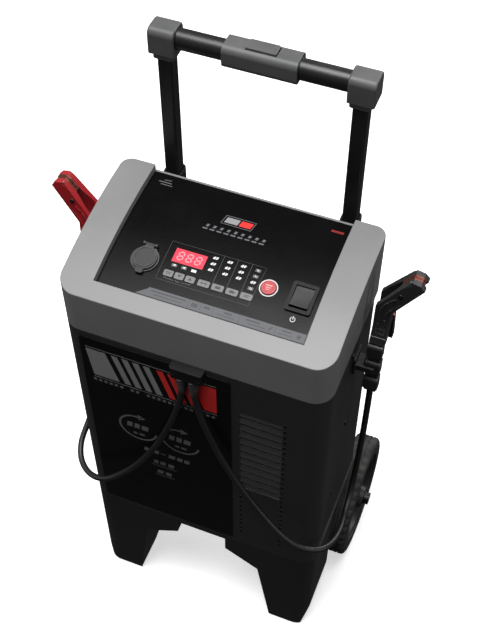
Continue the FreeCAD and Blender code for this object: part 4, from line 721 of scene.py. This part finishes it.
# %% The strip of small pictures along the panel's front edge
strip = [[(-84, 31.2), (-70, 31.2), (-66, 42.8), (-67.6, 42.8)]] + patch(-70, 134, 31.2, 42.8, lean=0.0)
ink("icon_strip", strip, "print_strip", lambda x, depth: on_panel(x, depth, 0.1))
icons = []
for x0, x1 in ((-66, -20), (30, 40), (58, 76), (104, 116)):
    icons += patch(x0, x1, 38.4, 40.2)
for x0, x1 in ((-62, -24), (22, 44), (62, 84), (100, 118)):
    icons += patch(x0, x1, 34.6, 35.6)
for x in (-16, 0, 16, 50, 96):
    icons += ribbon([(x, 32.4), (x, 41.6)], 0.5)
icons += patch(-12, -4, 35.0, 39.2) + patch(-11, -9.4, 39.2, 40.4) + patch(-6.6, -5, 39.2, 40.4)
icons += patch(4, 12, 37.0, 40.0) + ribbon([(88, 34.4), (92, 39.6)], 1.8) + disc(126, 37, 2.8)
ink("strip_icons", icons, "print_dark", lambda x, depth: on_panel(x, depth, 0.22))

# %% Marks on the open panel: power, a generic badge and two small notes
power = ribbon(arc(111, 56, 3.0, 120, 420), 0.9) + ribbon([(111, 56), (111, 60.4)], 0.9)
ink("power_symbol", power, "print_white", on_panel)
badge = ribbon([(-22, 157), (18, 157), (21, 171), (-19, 171)], 0.9, closed=True)
ink("badge_frame", badge, "print_grey", on_panel)
ink("badge_left", patch(-18.5, -1.0, 159.5, 168.5, lean=2.0), "print_silver", on_panel)
ink("badge_right", patch(1.0, 16.5, 159.5, 168.5, lean=2.0), "print_red", on_panel)
lines = []
for k in range(9):
    lines += patch(-41 + k * 9.4, -41 + k * 9.4 + 6.6, 141.5, 143.6, lean=0.6) + patch(-38 + k * 9.4,
        -38 + k * 9.4 + 3.6, 146.0, 150.0, lean=1.2)
ink("badge_lines", lines, "print_grey", on_panel)
note = ribbon([(-124, 196), (-106, 196)], 1.6) + ribbon([(-118, 200), (-108, 201)],
    1.2) + ribbon([(-120, 192), (-104, 192)], 1.2)
ink("corner_note", note, "print_grey", on_panel)
ink("corner_mark", patch(112, 128, 192.0, 195.6, lean=0.6), "print_red_dim", on_panel)
print("panel printed")
# %% [markdown]
# ## Small things round the controls
# The start button sits in a pale printed ring. Each indicator lens is masked into a
# pair of small marks, and most of the fourth column is dim, as on a charger at rest.

# %% Start ring, lens masks, cap ring
ink("start_ring", ribbon(arc(69.2, 86, 11.0, 0, 360, count=48)[:-1], 1.4, closed=True), "print_white",
    on_panel)
start_lines = patch(64.6, 73.4, 87.4, 89.0, step=3.0) + patch(65.6, 72.2, 84.4, 85.6,
    step=3.0) + patch(66.6, 71.4, 81.8, 82.8, step=3.0)
ink("start_button_lines", start_lines, "print_pink", on_key("start_button"), rides=body_of["start_button"])
masks, dims = [], []
for column, (x, count) in enumerate(((-7.0, 3), (12.0, 3), (29.8, 3), (48.8, 4))):
    for k in range(count):
        depth = 104.5 - 8.7 * k
        masks += patch(x - 0.5, x + 0.3, depth - 2.0, depth + 2.0, lean=0.8)
        if column == 3 and k != 2:
            dims += patch(x - 3.4, x - 0.9, depth - 1.9, depth + 1.9) + patch(x + 1.2, x + 3.4, depth - 1.9,
                depth + 1.9)
        else:
            masks += patch(x - 3.4, x - 1.9, depth + 0.5, depth + 2.0) + patch(x + 2.2, x + 3.4,
                depth - 2.0, depth - 0.7)
for x in (-52.0, -39.0):
    dims += patch(x - 3.4, x + 3.4, 77.0, 78.4) + patch(x - 3.4, x - 1.0, 78.4, 81.0) + patch(x + 1.4,
        x + 3.4, 78.4, 81.0)
ink("lens_masks", masks, "overlay_black", lambda x, depth: on_panel(x, depth, 0.42))
ink("lens_dims", dims, "lens_dim", lambda x, depth: on_panel(x, depth, 0.42))
cap_tree = caster("outlet_cap")


def on_cap(x, depth):
    hit = cap_tree.ray_cast(Vector((x * MM, front_face + depth * MM, 2.0)), Vector((0, 0, -1)))[0]
    return Vector((hit.x, hit.y, hit.z + 0.5 * MM))


ink("outlet_cap_ring", ribbon(arc(-90.0, 75.6, 13.2, 0, 360, count=48)[:-1], 1.6, closed=True),
    "rubber_black", on_cap, rides=body_of["outlet_cap"], thick=0.6)
print(len(masks), "masks and", len(dims), "dim shapes")

# %% [markdown]
# ## The front label
# A glossy label fills the left of the front. On it are a bold block in silver and
# red, two open circles with arrowheads, and a few short centred lines. We keep the
# shapes plain and write no words. They are ink again, laid on an upright plane.

# %% Label shapes
silver = [[(-148, 601), (-120, 601), (-104, 547), (-141, 547)]]
for k in range(4):
    silver += [[(-112 + 15 * k, 601), (-103 + 15 * k, 601), (-87 + 15 * k, 547), (-96 + 15 * k, 547)]]
silver += ribbon([(-148, 605), (34, 605)], 0.8) + ribbon([(-141, 543), (34, 543)], 0.8)
red = [[(0, 601), (34, 601), (34, 547), (16, 547)]]
for k in range(3):
    red += [[(-48 + 15 * k, 601), (-39 + 15 * k, 601), (-23 + 15 * k, 547), (-32 + 15 * k, 547)]]
ink("label_silver", silver, "print_silver", on_label)
ink("label_red", red, "print_red", on_label)
row = []
for k in range(23):
    if k not in (6, 9):
        row += patch(-143 + k * 7.7, -143 + k * 7.7 + 4.6, 533.6, 538.4, step=5.0)
ink("label_row", row, "print_label", on_label)
rings = []
for cx in (-85.5, -22.5):
    rings += ribbon(arc(cx, 447.5, 27.5, 75, 350, 0.98, 44), 3.0)
    rings += [[(cx + 2, 481), (cx + 13, 474.5), (cx + 2, 468)]]
    rings += patch(cx - 17, cx - 9, 446, 457, 1.5) + patch(cx - 6, cx + 2, 446, 457, 1.5) + patch(cx + 5,
        cx + 15, 446, 457, 1.5)
    rings += patch(cx - 8, cx - 2, 431, 435) + patch(cx + 1, cx + 9, 431, 435)
for level, spans in ((395, ((-80, -71), (-68, -58), (-43, -33), (-30, -22), (-19, -11))),
        (369, ((-67, -60), (-57, -49), (-45, -36))), (344, ((-63, -54), (-50, -41)))):
    for x0, x1 in spans:
        rings += patch(x0, x1, level, level + 8.5, 1.2)
rings += patch(-54, -47, 398, 400) + patch(-70, -32, 363.5, 364.5) + patch(-66, -36, 338.5, 339.5)
ink("label_rings", rings, "print_label", on_label)
print("label:", len(silver) + len(red) + len(row) + len(rings), "shapes")

# %% [markdown]
# ## Perforations beside the grille
# A column of small square holes runs down each side of the grille and on below it.
# They are too small to see into, so a dark sheet of painted shade with a fine rim stands in for the shadow
# inside each hole.

# %% Perforations
def flat_front(x, height):
    return Vector((x * MM, front_face - 0.1 * MM, height * MM))


hole_shade_patches, rims = [], []
for x, top, count in ((66.0, 366, 10), (126.6, 566, 26)):
    for k in range(count):
        height = top - 12.6 * k
        # each hole is a flat patch of painted shade, for the shadow inside it
        hole_shade_patches += patch(x - 1.9, x + 1.9, height - 2.2, height + 2.2)
        rims += frame_line(x - 2.3, x + 2.3, height - 2.6, height + 2.6, 0.5)
ink("painted_hole_shades", hole_shade_patches, "hole_painted_shade", flat_front)
ink("perforation_rims", rims, "body_black", flat_front, thick=0.15)
print(len(hole_shade_patches), "painted_hole_shades")

# %% [markdown]
# The grille itself is a stack of flat slats with dark gaps between them. The solid
# has simple leaning blades. We stand broad slats with rounded edges in its frame, and
# keep a dark plate behind them, so that the gaps read as deep.

# %% Grille slats
def make_slats():
    low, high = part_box("grille")
    mesh = bpy.data.meshes.new("grille_slats")
    work = bmesh.new()
    count = 12
    pitch = (high.z - low.z) / count

    def bar(x0, x1, y0, y1, z0, z1, lean=0.0):
        corners = [work.verts.new((x, y + (lean if z == z1 else 0), z)) for x in (x0, x1) for y in (y0,
            y1) for z in (z0, z1)]
        for face in ((0, 1, 3, 2), (4, 6, 7, 5), (0, 4, 5, 1), (2, 3, 7, 6), (0, 2, 6, 4), (1, 5, 7, 3)):
            work.faces.new([corners[k] for k in face])

    for k in range(count):
        foot = low.z + pitch * (k + 0.16)
        bar(low.x + 0.6 * MM, high.x - 0.6 * MM, low.y, low.y + 3.2 * MM, foot, foot + pitch * 0.66,
            1.6 * MM)
    bar(low.x, high.x, high.y - 1.0 * MM, high.y, low.z, high.z)
    bar(low.x, low.x + 0.8 * MM, low.y, high.y, low.z, high.z)
    bar(high.x - 0.8 * MM, high.x, low.y, high.y, low.z, high.z)
    bmesh.ops.recalc_face_normals(work, faces=work.faces)
    work.to_mesh(mesh)
    work.free()
    slats = bpy.data.objects.new("grille_slats", mesh)
    bpy.context.scene.collection.objects.link(slats)
    bevel = slats.modifiers.new("rounded edges", "BEVEL")
    bevel.width = 0.5 * MM
    bevel.segments = 2
    dress(slats, "grille_grey")
    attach(slats, body_of["grille"])
    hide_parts("grille")


make_slats()

# %% [markdown]
# ## Strain reliefs
# Where each lead leaves the hood it passes through a tapered rubber sleeve with rings
# round it, which keeps the lead from kinking at the edge. We turn a profile round the
# lead's own axis, as on a lathe.

# %% A lathe for round pieces
def lathe(name, profile, look, place, rides, turns=40, closed=False):
    """spin (radius, along) pairs; place(along, x, y) puts a point in the frame, in mm"""
    mesh = bpy.data.meshes.new(name)
    work = bmesh.new()
    rows = []
    for radius, along in profile:
        rows.append([work.verts.new(place(along, radius * math.cos(2 * math.pi * k / turns),
            radius * math.sin(2 * math.pi * k / turns))) for k in range(turns)])
    pairs = list(zip(rows, rows[1:])) + ([(rows[-1], rows[0])] if closed else [])
    for a, b in pairs:
        for k in range(turns):
            work.faces.new((a[k], a[(k + 1) % turns], b[(k + 1) % turns], b[k]))
    if not closed:
        work.faces.new(rows[0])
        work.faces.new(rows[-1])
    bmesh.ops.recalc_face_normals(work, faces=work.faces)
    work.to_mesh(mesh)
    work.free()
    mesh.shade_smooth()
    mesh.set_sharp_from_angle(angle=math.radians(35))
    piece = bpy.data.objects.new(name, mesh)
    bpy.context.scene.collection.objects.link(piece)
    dress(piece, look)
    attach(piece, rides)
    return piece


hood_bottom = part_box("lead_hood")[0].z / MM
relief_bore = 4.6                  # radius, in mm, just over the lead's own
relief_foot = 7.6
relief_length = 30.0
rib_radius = 7.4
rib_taper = 0.45                   # each rib is this much smaller than the one above it
rib_pitch = 5.2
rib_count = 5
for side, route in (("right", right_route), ("left", left_route)):
    x, depth, _ = route[0]
    profile = [(relief_bore, 0.0), (relief_foot, 0.0)]
    for k in range(rib_count):
        radius = rib_radius - rib_taper * k
        top = rib_pitch * k
        profile += [(radius, 1.5 + top), (radius, 4.3 + top),
                    (radius - 1.0, 4.7 + top), (radius - 1.0, 6.3 + top)]
    profile += [(5.3, 28.5), (5.0, relief_length), (relief_bore, relief_length)]

    def below_hood(along, u, v, x=x, depth=depth):
        return Vector(((x + u) * MM, front_face + (depth + v) * MM, (hood_bottom - along) * MM))

    lathe("strain_relief_" + side, profile, "rubber_black", below_hood, "chassis")
print(f"two strain reliefs, {relief_length:.0f} mm long")

# %% [markdown]
# ## Tyres with tread
# The solid tyres are plain. Real ones have grooves round them and cross cuts at the
# shoulders. We spin the tyre's section in many steps, and sink the shoulder points at
# every other pair of steps.

# %% Tyres
def make_tyre(side):
    node = "tyre_" + side
    low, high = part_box(node)
    axis = Vector(((low.x + high.x) / 2, (low.y + high.y) / 2, (low.z + high.z) / 2)) / MM
    outer, half = (high.z - low.z) / MM / 2, (high.x - low.x) / MM / 2
    inner = 75.0
    section = [(inner, half - 1.0), (82, half - 0.2), (90, half), (outer - 7, half - 0.6),
        (outer - 3, half - 2.2), (outer - 0.6, half - 5.0), (outer - 0.1, half - 7.5)]
    crown = [(outer, half - 11.0), (outer - 2.2, half - 11.4), (outer - 2.2, half - 13.6),
        (outer, half - 14.0)]
    crown += [(outer, 1.4), (outer - 2.2, 1.0)]
    right = section + crown
    profile = right + [(r, -a) for r, a in reversed(right)]
    piece = lathe(node + "_tread", profile, "tyre", lambda along, u, v: (axis + Vector((along, u, v))) * MM,
        body_of[node], turns=240, closed=True)
    for vertex in piece.data.vertices:
        offset = vertex.co / MM - axis
        radius = math.hypot(offset.y, offset.z)
        step = round(math.atan2(offset.z, offset.y) / (2 * math.pi) * 240) % 6
        if radius > outer - 3.4 and abs(offset.x) > half - 11.2 and step < 2:
            sunk = (radius - 2.4) / radius
            vertex.co = (axis + Vector((offset.x, offset.y * sunk, offset.z * sunk))) * MM
    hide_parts(node)
    return piece


tyres = [make_tyre(side) for side in ("right", "left")]
print("tyres:", len(tyres[0].data.polygons), "faces each")

# %% [markdown]
# ## Clamp details
# The front arm of each clamp has two raised ribs that follow its bend, a round rivet
# and a small bright one near the tip, and a bright wire across the foot of the
# arm, the end of its spring. Everything is dropped onto the arm by a ray cast.

# %% Ribs, rivets and the spring's end
def on_arm(node, side, lift=0.0):
    tree = caster(node)
    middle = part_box(node)

    def place(out, height):
        start = Vector((side * out * MM, middle[0].y - 0.05, height * MM))
        hit = tree.ray_cast(start, Vector((0, 1, 0)))[0]
        if hit is None:
            hit = tree.find_nearest(Vector((side * out * MM, middle[0].y, height * MM)))[0]
        return Vector((side * out * MM, hit.y - lift * MM, height * MM))
    return place


def round_head(name, centre, radius, rise, look, rides):
    profile = [(radius * math.cos(a), rise * math.sin(a)) for a in [math.radians(9 * k) for k in range(10)]]
    return lathe(name, [(radius, -0.6)] + profile, look, lambda along, u,
        v: centre + Vector((u * MM, -along * MM, v * MM)), rides, turns=20)


for colour, side in (("black", 1), ("red", -1)):
    node = "clamp_" + colour + "_front_arm"
    look = "clamp_" + colour
    body = body_of[node]
    surface = on_arm(node, side)
    inner_rib = ribbon([(198.6, 650), (198.8, 672), (199.8, 684), (203.6, 692.5), (210.0, 700),
        (216.0, 706)], 1.8)
    outer_rib = ribbon([(206.2, 648), (206.4, 670), (207.6, 678), (211.6, 685.5), (218.0, 692.6),
        (223.0, 698)], 1.8)
    ink("clamp_" + colour + "_ribs", inner_rib + outer_rib, look, on_arm(node, side, 0.3), rides=body,
        thick=1.0)
    lower = frame_line(197.4, 208.6, 640.5, 647.0, 1.4)
    ink("clamp_" + colour + "_foot_frame", lower, look, on_arm(node, side, 0.3), rides=body, thick=0.8)
    tip = ribbon([(224.0, 728), (228.5, 733), (233.5, 735.5)], 2.0)
    ink("clamp_" + colour + "_tip_rib", tip, look, on_arm(node, side, 0.3), rides=body, thick=0.9)
    round_head("clamp_" + colour + "_rivet", surface(221.0, 712.5), 3.6, 1.6, "dark_steel", body)
    round_head("clamp_" + colour + "_tip_rivet", surface(230.5, 741.0), 1.5, 0.9, "steel", body)
    low = on_arm(node, side)(203.0, 634.5)
    wire = ribbon([(193.0, 634.5), (213.0, 634.5)], 1.3)
    ink("clamp_" + colour + "_spring_end", wire, "steel", lambda out, height, side=side,
        y=low.y: Vector((side * out * MM, y - 0.5 * MM, height * MM)), rides=body, thick=1.2)
print("clamps detailed")

# %% [markdown]
# ## The leads' lengths
# Each lead's length is printed.

# %% Cord facts
for colour, route, length in (("black", right_route, 0.764), ("red", left_route, 0.676)):
    print(colour, "lead:", length, "m")

# %% [markdown]
# ## Floor and light
# A plain pale floor and soft boxes, as in a catalogue studio. The overhead box is the
# key: it makes the bezel's top pale and leaves its front dark. Two weak boxes at the
# sides draw thin lights along the black edges.

# %% Floor
floor_reach = 12.0                 # metres from the middle to an edge


def make_floor():
    mesh = bpy.data.meshes.new("floor")
    work = bmesh.new()
    bmesh.ops.create_grid(work, x_segments=1, y_segments=1, size=floor_reach)
    work.to_mesh(mesh)
    work.free()
    floor = bpy.data.objects.new("floor", mesh)
    bpy.context.scene.collection.objects.link(floor)
    material, tree, shader = new_finish("studio floor")
    surface = shared(tree, grain, Scale=60.0, Patch_Scale=1.2)
    tree.links.new(mixed(tree, surface.outputs["Tone"], (0.9, 0.9, 0.9), (0.94, 0.94, 0.94)),
        shader.inputs["Base Color"])
    shader.inputs["Roughness"].default_value = 0.8
    shader.inputs["Emission Color"].default_value = (1, 1, 1, 1)
    shader.inputs["Emission Strength"].default_value = 0.5
    floor.data.materials.append(material)
    floor.visible_diffuse = False      # a bright floor would wash out the dark lower body
    floor.visible_glossy = False


make_floor()

# %% Lights
def soft_box(name, place, aim, size, power):
    lamp = bpy.data.lights.new(name, "AREA")
    lamp.shape = "RECTANGLE"
    lamp.size, lamp.size_y = size
    lamp.energy = power
    box = bpy.data.objects.new(name, lamp)
    box.location = place
    box.rotation_euler = (Vector(aim) - Vector(place)).to_track_quat("-Z", "Y").to_euler()
    bpy.context.scene.collection.objects.link(box)


middle = (0, 0, 0.5)               # every lamp aims here; places and sizes in metres, power in watts
soft_box("overhead", (-0.4, -0.5, 5.0), middle, (2.6, 2.6), 275)
soft_box("left side", (-2.6, -0.9, 1.2), middle, (0.8, 1.8), 9)
soft_box("right side", (2.9, -0.2, 1.4), middle, (0.8, 1.8), 14)
soft_box("behind", (0.8, 3.4, 1.8), middle, (2.0, 1.4), 55)
world = bpy.data.worlds.new("studio")
world.use_nodes = True
sky = world.node_tree
heading = add_node(sky, "ShaderNodeSeparateXYZ",
    (("Vector", sky.nodes.new("ShaderNodeTexCoord").outputs["Generated"]),))
level = add_node(sky, "ShaderNodeMapRange",
    (("Value", heading.outputs["Z"]), ("From Min", -0.1), ("From Max", 0.2), ("To Min", 0.05),
        ("To Max", 0.15)))
seen = sky.nodes.new("ShaderNodeLightPath").outputs["Is Camera Ray"]
level = math_node(sky, "MAXIMUM", level.outputs["Result"], math_node(sky, "MULTIPLY", seen, 0.9))
background = sky.nodes["Background"]
background.inputs["Color"].default_value = (1, 1, 1, 1)
sky.links.new(level, background.inputs["Strength"])
bpy.context.scene.world = world
bpy.context.scene.view_settings.view_transform = "Standard"
print("floor and four soft boxes")
